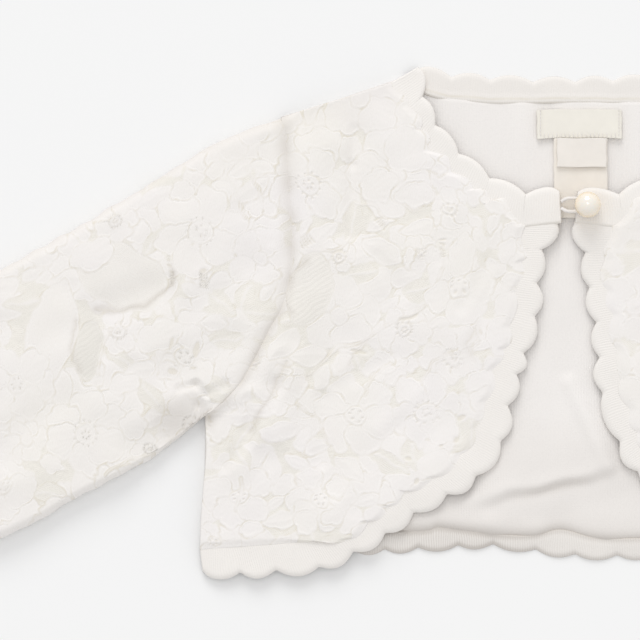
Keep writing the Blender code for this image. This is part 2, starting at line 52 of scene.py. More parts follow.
# The garment's own sizes, the same as the solids have
KNIT = 1.0
LACE = 1.0
BACK_KNIT = 1.2
TRIM = 1.6
LABEL = 0.9
GAP = 0.3
ON_BACK = BACK_KNIT + GAP
USUAL_AIR = 1.4
ARMHOLE_AIR = 3.2
MOST_AIR = 3.5
SIDE_ROLL = 20.0
SHOULDER_ROLL = 16.0
ARMHOLE_ROLL = 26.0
UNDERARM_UP = -36.0
ARMHOLE_RISE_LENGTH = 14.0
SLEEVE_EDGE_RADIUS = 3.4
SLEEVE_HEIGHT = 8.5
ARMHOLE_HEIGHT = 7.0
SLEEVE_RISE = 0.25
LEAST_DIP = 1.2
CUFF_DEPTH = 6.6
CUFF_INSET = 0.7
CUFF_SCALLOPS_PER_LAYER = 6
SCALLOP_ROUNDNESS = 0.7
CUSP_FILL = 0.02
EDGE_SCALLOP = 3.2
NECK_SCALLOP = 2.8
HEM_SCALLOP = 2.4
PEARL_RADIUS = 4.7
PEARL_ACROSS = 5.4
PEARL_UP = 42.8
LOOP_TURN_RADIUS = 3.7

# How finely the looks are modelled: cells, and the lengths that they divide
FINE_CELL = 0.47
HIDDEN_CELL = 0.8
UNDER_CELL = 1.6
SLEEVE_CELL_MORE = 0.03
PLAIN_CELL = 2.2
BACK_CELL = 1.15
FRONT_WIDTH = 86.0
FRONT_LENGTH = 178.0
BACK_WIDTH = 262.0
BACK_LENGTH = 156.0
CURVE_STEPS = 24
RIM_ROUNDING = 0.35
NOISE_WAVES = 9
PEARL_ROWS = 48

# Low relief of the lace
NET_LIFT = 0.12
DOME_LIFT = 0.10
CORD_LIFT = 0.05
CORD_INSET = 0.45
CORD_HALF_WIDTH = 0.40
EDGE_SOFTNESS = 0.7
RELIEF_MIDDLE = 0.2
MOST_RELIEF = 0.6
FAR_FROM_EDGE = 3.0
FAR_AWAY = 99.0
LOBE_DEPTH = 0.24
SLIT_PALENESS = 0.25
SLIT_HALF_WIDTH = 0.4
SLIT_SHADE_REACH = 2.1
WANDER = 0.70
FINE_WANDER = 0.14
FINE_SWELL = 0.16
BROAD_SWELL = 0.20
SWELL_START = 12.0
RELIEF_START = 1.6
LEAF_RIB_PITCH = 2.1
PETAL_RIBS = 24.0

# Flowers, leaves and petals that fill the lace: sizes, area for one try of each, the room
# that each needs round its middle, and the room that it takes from the next
BIG_FLOWERS = (10.0, 15.0)
SMALL_FLOWERS = (6.5, 9.5)
LEAF_LENGTHS = (9.0, 16.0)
PETAL_SIZE = 4.4
AREA_PER_FLOWER = 40.0
AREA_PER_LEAF = 30.0
AREA_PER_PETAL = 8.0
FLOWER_ROOM = 0.80
LEAF_ROOM = 0.16
LEAF_TAKES = 0.36
PETAL_ROOM = 0.12
PETAL_TAKES = 0.75

# How the lace lies at its seams
HEM_OVERLAP = 1.2
ARMHOLE_DIP = 0.55
ARMHOLE_DIP_REACH = 4.5
LINING_DROP = 0.15
LEAST_FRONT_UNDER = 1.35
THINNEST_KNIT = 0.25
THINNEST_BACK = 0.4
ARMHOLE_BLEND = 7.5
ARMHOLE_UNDERLAP = 0.5
UNDERLAP_REACH = 2.2
SEAM_SINK = 0.5
EDGE_UNEVENNESS = 0.3
SEAM_FADE = 6.5
SEAM_SHADE = 0.42
SEAM_PATCHINESS = 0.35
LOW_SEAM_GAIN = 0.5
LOW_SEAM_UP = 14.0
LOW_SEAM_FADE = 18.0
SEAM_SHADE_REACH = 5.0
UNDERARM_FOLD = (141.0, -35.0)
UNDERARM_FOLD_REACH = 16.0
UNDERARM_SHADE = 0.42
UPPER_EDGE_SHADE = 0.42
SHOULDER_SHADE = 0.16
SHOULDER_SHADE_REACH = 18.0
SLEEVE_LAP = 1.1
SLEEVE_VALLEY = 0.3
SLEEVE_VALLEY_REACH = 8.0
ARMHOLE_OVERLAP = 0.45
BAND_DIP = 0.62
BAND_DIP_REACH = 3.0
OVERLAP = 8.0
OVERLAP_REACH = 18.0
OVERLAP_LOBE = 10.0
LEAST_OVERLAP = 0.62
LOBE_OVERLAP = 0.26
OVERLAP_UNEVENNESS = 0.6
OVERLAP_CORNER = 12.0
OVERLAP_END = 9.0
HIDDEN_FRONT_SHIFT = 4.0
HIDDEN_SLEEVE_SHIFT = 5.0

# Edging
RIB_CELL = 0.2
RIB_PITCH = 0.85
RIB_LIFT = 0.05
BAND_COLUMNS = 13
BAND_TUCK = 0.5
BAND_LEAD = 0.9
LEAD_SINK = 0.35
FIRST_RIDGE = 0.8
SECOND_RIDGE = 2.1
RIDGE_WIDTH = 0.5
GROOVE_WIDTH = 0.35
# Painted shade in the bands' groove and along their seam
GROOVE_SHADE = 0.4
SEAM_BAND_SHADE = 0.2
SEAM_BAND_SHADE_REACH = 0.5
RIB_WANDER = 0.25
BAND_UNEVENNESS = 0.12
HEM_BAND_SHADE = 0.43
HEM_BAND_DARKEST = -45.0
HEM_BAND_DARK_HALF = 26.0
HEM_RIB_SHADE = 0.36
NECK_BAND_SHADE = 0.14
HEM_BAND_TILT = 1.2
EDGE_ROLL = 1.4
EDGE_ROLL_DEPTH = 0.34
RIB_START = 1.2
RIB_END = 0.8
LAP_REACH = 3.0

# Back: its hem, its sharp fold, its low part and its open part
BACK_UNEVENNESS = 0.27
HEM_ROLL = 3.2
HEM_ROLL_DEPTH = 1.3
HEM_RAISE = 1.5
HEM_RAISE_REACH = 26.0
DROP_DEPTH = 2.0
DROP_WIDTH = 3.4
DROP_FADE = 34.0
DROP_ENDS = 18.0
DARKEST_ACROSS = -7.0
DARK_HALF_LENGTH = 17.0
LOW_BACK_UP = -26.0
LOW_BACK_FADE = 24.0
LOW_BACK_SHADE = 0.23
FOLD_SHADE = 0.46
HEM_SHADE = 0.52
OPEN_HALF = 84.0
OPEN_FADE = 18.0
SUNKEN_BACK = 0.3

# Sleeves, cuffs, bead and loop
SLEEVE_EDGE_STEPS = 8
CUFF_COLUMNS = 12
PLY_PITCH = 1.6
SLEEVE_LENGTH = 170.0
SHOWN_SLEEVE = 0.64
CUFF_HEM = 0.12
CUFF_ROLL = 0.14
PEARL_FLATNESS = 0.05
PEARL_FLAT_FROM = 2.6
LOOP_RADIUS = 0.68
LOOP_LIFT = 0.5
LOOP_ROOT_INSET = 0.9
LOOP_HALF_TURN = 140.0

# View: middle and width of the photographed square, and the lights
VIEW_ACROSS = -90.7
VIEW_UP = 1.4
VIEW_SIZE = 230.4
CAMERA_HEIGHT = 3000.0
FLOOR_HALF = 3000.0
FLOOR_UP = -0.05
KEY_STRENGTH = 1.00
FILL_STRENGTH = 0.80
LAMP_POWER = 0.46
KEY_DIRECTION = (-0.10, 0.86, 0.54)
LAMP_DIRECTION = (0.05, 0.20, 0.97)

Fold = namedtuple("Fold", "out_a up_a out_b up_b reach height")
Flower = namedtuple("Flower", "across up radius petals turn heart")
Leaf = namedtuple("Leaf", "across up length width turn fill")
Disc = namedtuple("Disc", "across up half_long half_wide turn lift")
NetOval = namedtuple("NetOval", "across up half_long half_wide turn grey")
Slit = namedtuple("Slit", "shade points")
Eyelet = namedtuple("Eyelet", "across up half_long half_wide turn")
Ladder = namedtuple("Ladder", "across_a up_a across_b up_b width bars")
Label = namedtuple("Label", "left right low high")
Cut = namedtuple("Cut", "width length area")

# Armhole seam from the shoulder to the underarm: out, up
ARMHOLE = [
    (104, 74.2), (101.5, 44.6), (101.2, 26.6), (103.7, 8.6),
    (109.4, -2.2), (115.9, -14.8), (121.8, -23.6), (131.8, -32.8),
]

# Side seam from the underarm to the front's hem: out, up
SIDE = [
    (131.8, -32.8), (131.4, -45.4), (132.3, -58), (133.2, -70), (133.6, -81),
]

# Upper edge of the sleeve from the shoulder to the cuff: out, up
SLEEVE_UPPER = [
    (104, 74.2), (119.5, 68.8), (133.9, 62), (148.3, 52.6),
    (177.1, 35.4), (205.9, 19.2), (241.9, -1.4), (275, -21.2),
]

# Lower edge of the sleeve from the underarm to the cuff: out, up
SLEEVE_LOWER = [
    (131.8, -32.8), (148.3, -46.4), (162.7, -54.6), (177.1, -62),
    (191.5, -70.6), (205.9, -77.2), (221, -82.2), (237.6, -85.8),
]

# Shoulder seam on the back, from the armhole to the neck: out, up
SHOULDER = [(104, 74.2), (90, 78.6), (75, 84), (60.1, 89)]

# Back neck seam from the shoulder to the middle: out, up
BACK_NECK = [
    (56.2, 84.6), (47.5, 81.6), (36, 80.4), (25.9, 79.9), (12, 80.1), (0, 80.3),
]

# Front neck seam from the shoulder to the button: out, up
FRONT_NECK = [
    (64.8, 86.4), (63, 76.3), (58.7, 65.2), (49, 52.9), (36, 42.5), (21.6, 36.6),
]

# Front edge seams from the button to the hem: out, up
RIGHT_EDGE = [
    (16.9, 35.3), (22.4, 27), (25, 14.8), (26.8, 3.6), (30.2, -6.8),
    (33.1, -15.8), (36.7, -26.6), (39.9, -37), (45.4, -44.6), (53.2, -50.4),
    (63.4, -56.8), (73.4, -64.4), (83, -72.2), (91.4, -78.1),
]
LEFT_EDGE = [
    (14.4, 35.3), (16.6, 24.8), (18, 12.2), (20.3, 0.7), (21.9, -11.9),
    (24, -24), (28.6, -36.4), (34.6, -45.4), (43, -52.8), (52.4, -59.4),
    (63.4, -66.2), (74.9, -72.2), (84.4, -75.8), (92.9, -78.6),
]

# Where the scallops of each edging meet: out, up
RIGHT_CUSPS = [
    (6, 36.1), (11.9, 27), (13.7, 14.8), (14.4, 2.9), (18.4, -10.1),
    (20.9, -18), (24.1, -29.2), (26.6, -41.8), (35.3, -54), (45.7, -60.5),
    (57.6, -67), (67.8, -74.4), (79.2, -81), (91.4, -86.4), (106.6, -87.5),
    (119.5, -88.4), (132.6, -88.2),
]
LEFT_CUSPS = [
    (1.6, 36.1), (5.8, 25.9), (7.2, 13.3), (9.7, 0.7), (10.8, -11.9),
    (11.9, -24.5), (18, -41.8), (24.5, -52.6), (34.6, -61.2), (46.1, -68.4),
    (58.7, -75.2), (71.3, -81.2), (83.9, -85.3), (96.5, -87.1), (109.1, -87.7),
    (121, -88.4), (132.6, -88.2),
]
NECK_CUSPS = [
    (56.2, 91.9), (54.7, 81.4), (50, 70.9), (41.4, 60.5), (30.2, 51.5), (16.9, 45.7),
]
RIGHT_TIP = (4.8, 46.9)
RIGHT_TIP_FOOT = (4.2, 37)
LEFT_TIP = (2.2, 46.6)
LEFT_TIP_FOOT = (1.4, 37)

# The same on the back, wearer's right to left: across, up
BACK_NECK_CUSPS = [
    (-55.6, 90.6), (-43.6, 87.8), (-29.5, 86.8), (-14, 86), (1.1, 86),
    (14.8, 86.4), (29.5, 86.8), (43.6, 87.8), (55.6, 90.6),
]
BACK_HEM = [
    (-132.9, -75), (-95, -76), (-54.7, -74.9), (-47.5, -73.6), (-26, -76.4),
    (-14, -76.6), (-4, -74.6), (8, -77.4), (24.5, -77.8), (60, -76.4),
    (95, -76), (132.9, -75),
]
BACK_HEM_CUSPS = [
    (-132.4, -80), (-119.5, -80.2), (-105.1, -80.6), (-91.4, -80.6), (-78.8, -80.6),
    (-67.4, -80.2), (-55.4, -79.6), (-41, -78.8), (-28.4, -78.4), (-13, -80.3),
    (1.1, -82), (16.2, -82.4), (30, -82), (44.3, -80.9), (58.7, -80.4),
    (73, -80.6), (88, -80.6), (103, -80.6), (118, -80.2), (132.4, -80),
]

# Main folds, close to those of the solids
BACK_FOLDS = [
    Fold(-22, -66, 20, -53, 9, 2.2),
    Fold(-2, -24, 8, -50, 8, 1.2),
]
FRONT_FOLDS = [
    Fold(52, -58, 80, -68, 26, 1.3),
    Fold(5, 41, 24, 41, 15, 0.5),
    Fold(78, 70, 80, 34, 12, -1),
    Fold(116, -30, 122, -50, 11, 1.7),
    Fold(103, -14, 108, -40, 10, 1.3),
    Fold(90, -28, 90, -56, 12, -0.9),
    Fold(60, 30, 48, 0, 18, 0.8),
]
SLEEVE_FOLDS = [
    Fold(124, -6, 146, -18, 11, -1.5),
    Fold(118, 20, 134, 4, 12, -1.1),
    Fold(150, 12, 168, 6, 11, -1.1),
    Fold(186, -30, 206, -46, 13, -1.2),
    Fold(206, -2, 226, -24, 12, -1.2),
    Fold(246, -34, 262, -44, 10, -1.3),
]

# Small creases that only the looks have, on the cloth's upper face
FRONT_CREASES = [
    Fold(115.9, -27.4, 117, -38, 3.8, -0.6),
    Fold(118, -43.5, 124.9, -50.8, 4.2, -0.6),
    Fold(103.3, -13, 106.9, -22, 5.5, -0.9),
    Fold(106.9, -22, 116.6, -40, 5.5, -0.9),
    Fold(111, -26, 113.5, -42, 4.5, 0.4),
    Fold(78, 69.8, 79.2, 57.2, 3.2, -0.5),
    Fold(79.2, 57.2, 79.2, 32, 3.2, -0.6),
    Fold(83, 64, 84, 36, 4, 0.3),
    Fold(90, -27, 90.5, -49, 5, -0.7),
    Fold(70, 24, 56, 4, 5, -0.4),
    Fold(64, -12, 84, -22, 5, -0.4),
    Fold(54, -24, 70, -38, 5, 0.4),
    Fold(30, 22, 40, 6, 4, -0.4),
]
SLEEVE_CREASES = [
    Fold(141.3, -23.4, 135.5, -21.7, 2.6, -0.7),
    Fold(135.5, -21.7, 131.5, -25, 2.6, -0.7),
    Fold(131.5, -25, 124, -22, 3, -0.5),
    Fold(134.4, -29.2, 132.1, -35.8, 3, -0.7),
    Fold(135.5, -22, 134.4, -29.2, 2.8, -0.6),
    Fold(152, -45, 134, -34, 13, -2.4),
    Fold(110, 66, 108, 30, 4, -0.4),
    Fold(120, 40, 116, 12, 6, -0.5),
    Fold(158, -16, 146, -40, 7, -0.6),
    Fold(182, 12, 166, -10, 7, -0.5),
]

BACK_CREASES = [
    Fold(-62, -69.5, -30, -71.8, 6.5, 0.5),
    Fold(-30, -71.8, -12, -73.6, 5.5, 0.4),
    Fold(-38, -64, -22, -58.6, 4, 0.4),
    Fold(-44, -40, -38, -58, 9, -0.4),
    Fold(-1, -21, 13, -52, 4.4, 0.9),
]

# Where the back's cloth drops in a sharp fold, as across, up
BACK_DROP = [
    (-40, -68), (-30, -64.4), (-23, -61.4), (-12.6, -59.4), (-1.8, -56.8),
    (7.6, -55), (14.8, -52.8), (22, -48.5),
]

# Lace of the right front and sleeve that the photograph shows
SHOWN_FLOWERS = [
    Flower(-95, 50, 13.5, 6, 10, "ring"),
    Flower(-64.5, 54, 15.5, 5, 40, "plain"),
    Flower(-52.9, -31.3, 13, 6, 20, "ring"),
    Flower(-91, -63, 12, 6, 0, "star"),
    Flower(-133.9, 33.1, 15.5, 6, 15, "ring"),
    Flower(-175, -39.2, 14.5, 6, 30, "ring"),
    Flower(-41, 13, 12.5, 5, 70, "star"),
    Flower(-84, 3, 14, 5, 15, "plain"),
    Flower(-78, -33, 14, 6, 50, "star"),
    Flower(-120, -62, 11.5, 5, 35, "star"),
    Flower(-112, 24, 10.5, 5, 0, "plain"),
    Flower(-139, -12, 11, 5, 20, "star"),
    Flower(-163, -62, 11, 5, 60, "plain"),
    Flower(-200, -22, 13, 6, 0, "star"),
]
SHOWN_DISCS = [
    Disc(-59.8, 63, 8.5, 7.4, 60, 0.50),
    Disc(-69.8, 49.7, 6.8, 6.2, 20, 0.58),
    Disc(-56.2, 46.5, 6.2, 4.8, 10, 0.52),
    Disc(-79.9, 63, 4.4, 3.8, 70, 0.46),
    Disc(-39.6, 24.8, 7.4, 4.4, 80, 0.48),
    Disc(-105, -38.5, 8.2, 3, 5, 0.50),
    Disc(-94.7, -55.4, 4.4, 3.4, 0, 0.52),
    Disc(-84.7, -58.7, 3.8, 3.4, 80, 0.52),
    Disc(-95.6, -71.1, 4.3, 4.2, 0, 0.50),
    Disc(-86, -69, 4.4, 3.3, 20, 0.50),
    Disc(-115.2, -74, 4.2, 2.6, 0, 0.46),
    Disc(-172.5, 25, 8, 5.6, 30, 0.74),
    Disc(-140.9, 48.1, 4.2, 3.8, 0, 0.50),
    Disc(-128.2, 55.1, 3.9, 2.7, 60, 0.48),
    Disc(-145.3, -16.6, 3.5, 3.2, 0, 0.46),
    Disc(-157.7, -36.5, 5, 4.5, 0, 0.50),
    Disc(-160.9, -21.4, 5.2, 3.4, 10, 0.46),
    Disc(-186.5, -50.2, 5, 3.4, -20, 0.50),
    Disc(-148, -4, 7.8, 6, 30, 0.44),
]
SHOWN_NET_OVALS = [
    NetOval(-162, 17, 17.5, 11.5, -28, 0),
    NetOval(-94.5, 12, 13.5, 7.5, 78, 0.1),
    NetOval(-173.6, -9.6, 10.5, 5.2, 82, 1),
]

# Narrow sunk lines beside the leaves: how much shade is painted round each, and the points as across, up
SHOWN_SLITS = [
    Slit(0.52, [(-144, 20), (-145.9, 12.3), (-154, 7.1), (-164.4, 4.8), (-171.4, 5.4)]),
    Slit(0.40, [(-101.2, 4.3), (-102.9, 11.2), (-101.2, 18.1), (-98.9, 21), (-94.3, 22.7)]),
    Slit(0.36, [(-102.3, -13.6), (-109, -26.5), (-116.1, -38.4)]),
    Slit(0.16, [(-87.3, -9.6), (-91, -15.4), (-95.4, -20)]),
    Slit(0.16, [(-73.5, -6.1), (-78, -10.2), (-81.5, -15.4)]),
    Slit(0.30, [(-178.5, 1), (-179.6, -8), (-177, -17)]),
    Slit(0.14, [(-35.2, -12), (-37.4, -6), (-34, 0.5)]),
]
SHOWN_LEAVES = [
    Leaf(-79, 36, 16, 8, 80, "net"),
    Leaf(-54.7, 11.9, 12, 8, 20, "net"),
    Leaf(-47.5, 6.8, 8, 5.6, 10, "net"),
    Leaf(-187.2, -4, 42, 19, 78, "satin"),
    Leaf(-115.6, 48.2, 15, 7, 35, "satin"),
    Leaf(-68, 26, 17, 8.5, -30, "satin"),
    Leaf(-104, -8, 16, 8, 50, "satin"),
    Leaf(-66, -50, 15, 7, -35, "net"),
    Leaf(-108, -52, 14, 7, 100, "satin"),
    Leaf(-33, 30, 11, 5, 110, "satin"),
    Leaf(-150, 30, 12, 6, 70, "net"),
    Leaf(-126, 7, 13, 6, -40, "net"),
    Leaf(-197, 8, 14, 7, 10, "net"),
    Leaf(-118, -40, 12, 6, 60, "net"),
]

# Corded twigs on that lace, each a list of across, up
SHOWN_TWIGS = [
    [(-94.7, -19.1), (-85, -9.4), (-79.6, -7.6), (-73.4, -5.4), (-52.9, 6.5)],
    [(-33.4, -1.5), (-35.4, -7), (-35.2, -13)],
    [(-119.2, -55.1), (-119.6, -60.8), (-121.7, -68.4)],
    [(-79.6, 32), (-84, 27), (-92, 26)],
    [(-66, 38), (-72, 42), (-78, 43)],
    [(-47, 30), (-46.4, 22), (-49, 16)],
    [(-118, 56), (-113, 49), (-111, 40)],
    [(-124, 52), (-120, 46), (-118, 38)],
    [(-166, -1), (-168.6, -9), (-170, -18)],
    [(-150, -48), (-160, -50), (-168, -54)],
    [(-66, -14), (-72, -20), (-74, -26)],
    [(-100, -28), (-92, -34), (-88, -44)],
    [(-44, -10), (-50, -14), (-54, -20)],
]
SHOWN_EYELETS = [
    Eyelet(-39, -33.7, 1.7, 1.1, 40),
    Eyelet(-56.3, -57.1, 1.6, 1.1, 70),
    Eyelet(-59, -47.9, 1.1, 0.8, 0),
    Eyelet(-47.2, -43.9, 1.1, 0.8, 30),
    Eyelet(-42.1, -41.4, 1.1, 0.8, 60),
    Eyelet(-135.5, -9, 2.2, 1.2, 85),
    Eyelet(-136, -15.7, 1.3, 0.8, 0),
    Eyelet(-143.6, -7.4, 2.6, 0.8, 85),
    Eyelet(-121.3, 24.5, 0.9, 0.7, 0),
    Eyelet(-132.5, 19.4, 1.2, 0.9, 0),
    Eyelet(-76.5, -9.7, 2.6, 0.6, -20),
    Eyelet(-59, 2.2, 3, 0.6, 25),
    Eyelet(-144, -17, 1.5, 1.4, 0),
]
SHOWN_LADDERS = [
    Ladder(-46.6, 24.6, -46.2, 30, 2.2, 5),
    Ladder(-132.9, 12.6, -132.5, 19.2, 3.2, 6),
    Ladder(-144.6, 12.6, -145, 24.4, 2, 9),
    Ladder(-70.5, 38.5, -66, 33, 2.6, 6),
    Ladder(-97.5, 28, -92.5, 31, 2.6, 5),
]

# The two halves: word, side, edge, scallops, neck tip and its foot, cell of the lace, seed
HALVES = [
    ("right", -1, RIGHT_EDGE, RIGHT_CUSPS, RIGHT_TIP, RIGHT_TIP_FOOT, FINE_CELL, 41),
    ("left", 1, LEFT_EDGE, LEFT_CUSPS, LEFT_TIP, LEFT_TIP_FOOT, HIDDEN_CELL, 77),
]

# Labels inside the back neck: left, right, low and high edge
MAKER_LABEL = Label(-12.6, 18.0, 66.9, 77.2)
SIZE_TAB = Label(-5.4, 12.4, 56.4, 66.85)
CARE_LABEL = Label(-6.6, 12.8, 38.0, 66.85)

# How the labels and their stitches are made and lie
LABEL_COLUMNS = 60
LABEL_LINES = 40
LABEL_FOLD = 2.0
LABEL_FOLD_LIFT = 0.28
LABEL_WAVE = 0.16
LABEL_DROOP = 0.25
STITCH_REST = 0.3
STITCH_LIFT = 0.28
END_STITCH_RADIUS = 0.13
LOW_STITCH_RADIUS = 0.11
END_STITCH_PITCH = 1.25
LOW_STITCH_PITCH = 1.5

# Pitch of the net, the satin, the dotted outlines and the knit, and how much shade is painted in the
# net's holes, outlines and eyelets
NET_PITCH = 1.25
SATIN_PITCH = 0.75
DOT_PITCH = 0.9
KNIT_COLUMN_PITCH = 0.95
KNIT_ROW_PITCH = 0.8
OUTLINE_HALF_WIDTH = 0.46
LEAST_OUTLINE = 0.24
MOST_OUTLINE = 1.2
OUTLINE_SHADE = 0.78
HOLE_SHADE = 0.36

# Colours, as linear light
SATIN_THREAD = (0.883, 0.853, 0.845)
WARM_THREAD = (0.876, 0.848, 0.796)
# Painted highlight on the lace's raised cords
CORD_HIGHLIGHT = (0.925, 0.900, 0.880)
NET_THREAD = (0.876, 0.850, 0.812)
GREY_NET = (0.785, 0.762, 0.728)
GAP_SHADE = (0.680, 0.620, 0.480)
SHADED_COTTON = (0.650, 0.608, 0.568)
KNIT_YARN = (0.890, 0.858, 0.833)
RIB_YARN = (0.882, 0.849, 0.814)
WOVEN_CREAM = (0.892, 0.858, 0.785)
WOVEN_WHITE = (0.882, 0.836, 0.782)
CARE_TAPE = (0.892, 0.838, 0.768)
FLOOR_WHITE = (0.905, 0.905, 0.905)
PEARL_CREAM = (0.88, 0.82, 0.73)
PEARL_PALE = (0.91, 0.86, 0.79)
# Painted reflection and shade for the pearl's rim
PEARL_PAINTED_RIM = (0.88, 0.66, 0.34)


# Small helpers

def ease(value):
    """Smooth step from 0 to 1, for a number or an array."""
    value = np.clip(value, 0.0, 1.0)
    return value * value * (3.0 - 2.0 * value)


def hump(value, middle, half_width):
    """A round rise to 1 where a value is at the middle."""
    return np.exp(-((value - middle) / half_width) ** 2)


def quarter_round(share):
    """Height of a quarter circle, from 0 at its edge to 1."""
    return np.sqrt(1.0 - (1.0 - np.clip(share, 0.0, 1.0)) ** 2)


def rolled_down(share):
    """How far a rolled edge lies down, from 1 at the edge to 0."""
    return 1.0 - np.sqrt(np.clip(share, 0.0, 1.0))


def shares_of(length, cell):
    """Even shares of a length, a cell apart."""
    return np.linspace(0.0, 1.0, steps_for(length, cell) + 1)


def round_turn(count):
    """Even angles of a whole turn."""
    return 2.0 * np.pi * np.arange(count) / count


def smooth_path(points):
    """A dense smooth path through all the given points."""
    points = np.asarray(points, float)
    last = len(points) - 1
    t = np.arange(CURVE_STEPS)[:, None] / CURVE_STEPS
    spans = []
    for index in range(last):
        before = points[max(index - 1, 0)]
        start = points[index]
        end = points[index + 1]
        after = points[min(index + 2, last)]
        spans.append(0.5 * (
            2.0 * start
            + (end - before) * t
            + (2.0 * before - 5.0 * start + 4.0 * end - after) * t ** 2
            + (3.0 * start - before - 3.0 * end + after) * t ** 3
        ))
    spans.append(points[-1:])
    return np.vstack(spans)


def path_reach(path):
    """Distance of each point of a path from its start."""
    return np.concatenate([[0.0], np.cumsum(np.linalg.norm(np.diff(path, axis=0), axis=1))])


def at_distance(path, distance):
    """Points of a path at distances from its start."""
    reach = path_reach(path)
    return np.stack([np.interp(distance, reach, path[:, k]) for k in range(path.shape[1])], -1)


def at_shares(path, shares):
    """Points of a path at shares of its length."""
    return at_distance(path, np.asarray(shares) * path_reach(path)[-1])


def sideways(path):
    """Unit directions to the right of a path."""
    ahead = np.gradient(path, axis=0)
    side = np.stack([ahead[:, 1], -ahead[:, 0]], -1)
    return side / np.linalg.norm(side, axis=1)[:, None]


def shifted(path, amount):
    """The path moved sideways, to its right where the amount is above zero."""
    return path + sideways(path) * amount


def steps_for(length, cell):
    """Number of cells along a length."""
    return max(2, int(round(length / cell)))


def soft_noise(x, y, size, seed):
    """Smooth uneven values round 0, with features of about the given size."""
    rng = np.random.default_rng(seed)
    total = np.zeros_like(x)
    for _ in range(NOISE_WAVES):
        angle = rng.uniform(0.0, 2.0 * math.pi)
        pace = 2.0 * math.pi / (size * rng.uniform(1.2, 2.8))
        total += np.sin((x * math.cos(angle) + y * math.sin(angle)) * pace
                        + rng.uniform(0.0, 2.0 * math.pi))
    return total / math.sqrt(NOISE_WAVES)


# Heights above the floor

def fold_height(folds, out, up):
    """Sum of the soft ridges and troughs at places."""
    total = np.zeros_like(out)
    for fold in folds:
        line_x = fold.out_b - fold.out_a
        line_y = fold.up_b - fold.up_a
        share = ((out - fold.out_a) * line_x + (up - fold.up_a) * line_y) / (line_x ** 2 + line_y ** 2)
        share = np.clip(share, 0.0, 1.0)
        away = np.hypot(out - fold.out_a - line_x * share, up - fold.up_a - line_y * share)
        total += fold.height * ease(1.0 - away / fold.reach)
    return total


def seam_out(up):
    """How far out the armhole or side seam is at each height."""
    rows = np.array(ARMHOLE + SIDE[1:])[::-1]
    return np.interp(up, rows[:, 1], rows[:, 0])


def shoulder_up(out):
    """How far up the shoulder seam is at each distance out."""
    high = SHOULDER[-1]
    low = SHOULDER[0]
    return high[1] + (low[1] - high[1]) * (out - high[0]) / (low[0] - high[0])


def back_under(across, up):
    """Height of the back's underside."""
    return np.maximum(0.0, fold_height(BACK_FOLDS, across, up))


def front_under(across, up):
    """Height of a front's underside over the back that it lies on."""
    out = np.abs(across)
    inside = seam_out(up) - out
    beside_sleeve = ease((up - UNDERARM_UP) / ARMHOLE_RISE_LENGTH)
    side_ease = ease(inside / SIDE_ROLL)
    side_ease = side_ease + (1.0 - side_ease) * beside_sleeve
    shoulder_ease = ease((shoulder_up(out) - up) / SHOULDER_ROLL)
    air = USUAL_AIR + fold_height(FRONT_FOLDS, out, up)
    air = air + (ARMHOLE_AIR - USUAL_AIR) * ease(1.0 - inside / ARMHOLE_ROLL) * beside_sleeve
    return ON_BACK + np.clip(air * side_ease * shoulder_ease, 0.0, MOST_AIR)


def sleeve_height(out, up, row_share, width_share):
    """Height of the sleeve's upper layer over the floor."""
    crown = np.sqrt(np.clip(1.0 - (2.0 * width_share - 1.0) ** 2, 0.0, 1.0))
    edge = 2.0 * SLEEVE_EDGE_RADIUS
    top = ARMHOLE_HEIGHT + (SLEEVE_HEIGHT - ARMHOLE_HEIGHT) * ease(row_share / SLEEVE_RISE)
    height = edge + (top - edge) * crown
    height = height + fold_height(SLEEVE_FOLDS, out, up) * crown
    from_seam = row_share * SLEEVE_LENGTH
    height = height - SLEEVE_VALLEY * ease(1.0 - from_seam / SLEEVE_VALLEY_REACH) * crown
    return np.maximum(edge - LEAST_DIP * crown, height)


# Meshes

def grid_quads(index, turned):
    """Quads over a grid of vertex numbers."""
    corners = [index[:-1, :-1], index[:-1, 1:], index[1:, 1:], index[1:, :-1]]
    if turned:
        corners.reverse()
    return np.stack(corners, -1).reshape(-1, 4)


def mesh_from_quads(name, points, quads, material, values):
    """A smooth mesh from points in millimetres, with values on its points."""
    mesh = bpy.data.meshes.new(name)
    mesh.vertices.add(len(points))
    mesh.vertices.foreach_set("co", (points * MM).astype(np.float32).ravel())
    mesh.loops.add(quads.size)
    mesh.loops.foreach_set("vertex_index", quads.ravel().astype(np.int32))
    mesh.polygons.add(len(quads))
    mesh.polygons.foreach_set("loop_start", np.arange(0, quads.size, 4, dtype=np.int32))
    mesh.polygons.foreach_set("loop_total", np.full(len(quads), 4, dtype=np.int32))
    mesh.update(calc_edges=True)
    mesh.validate()
    mesh.shade_smooth()
    for key, value in values.items():
        attribute = mesh.attributes.new(key, "FLOAT", "POINT")
        attribute.data.foreach_set("value", np.asarray(value, np.float32).ravel())
    mesh.materials.append(material)
    thing = bpy.data.objects.new(name, mesh)
    bpy.context.scene.collection.objects.link(thing)
    return thing


def mesh_from_grid(name, places, material, values, ring=False, turned=False, closed=False):
    """A mesh over a grid of places.

    A ring joins its last column to its first, and a closed one its last row too.
    """
    lines, columns = places.shape[:2]
    index = np.arange(lines * columns).reshape(lines, columns)
    if ring:
        index = np.concatenate([index, index[:, :1]], axis=1)
    if closed:
        index = np.concatenate([index, index[:1]], axis=0)
    return mesh_from_quads(name, places.reshape(-1, 3), grid_quads(index, turned), material, values)


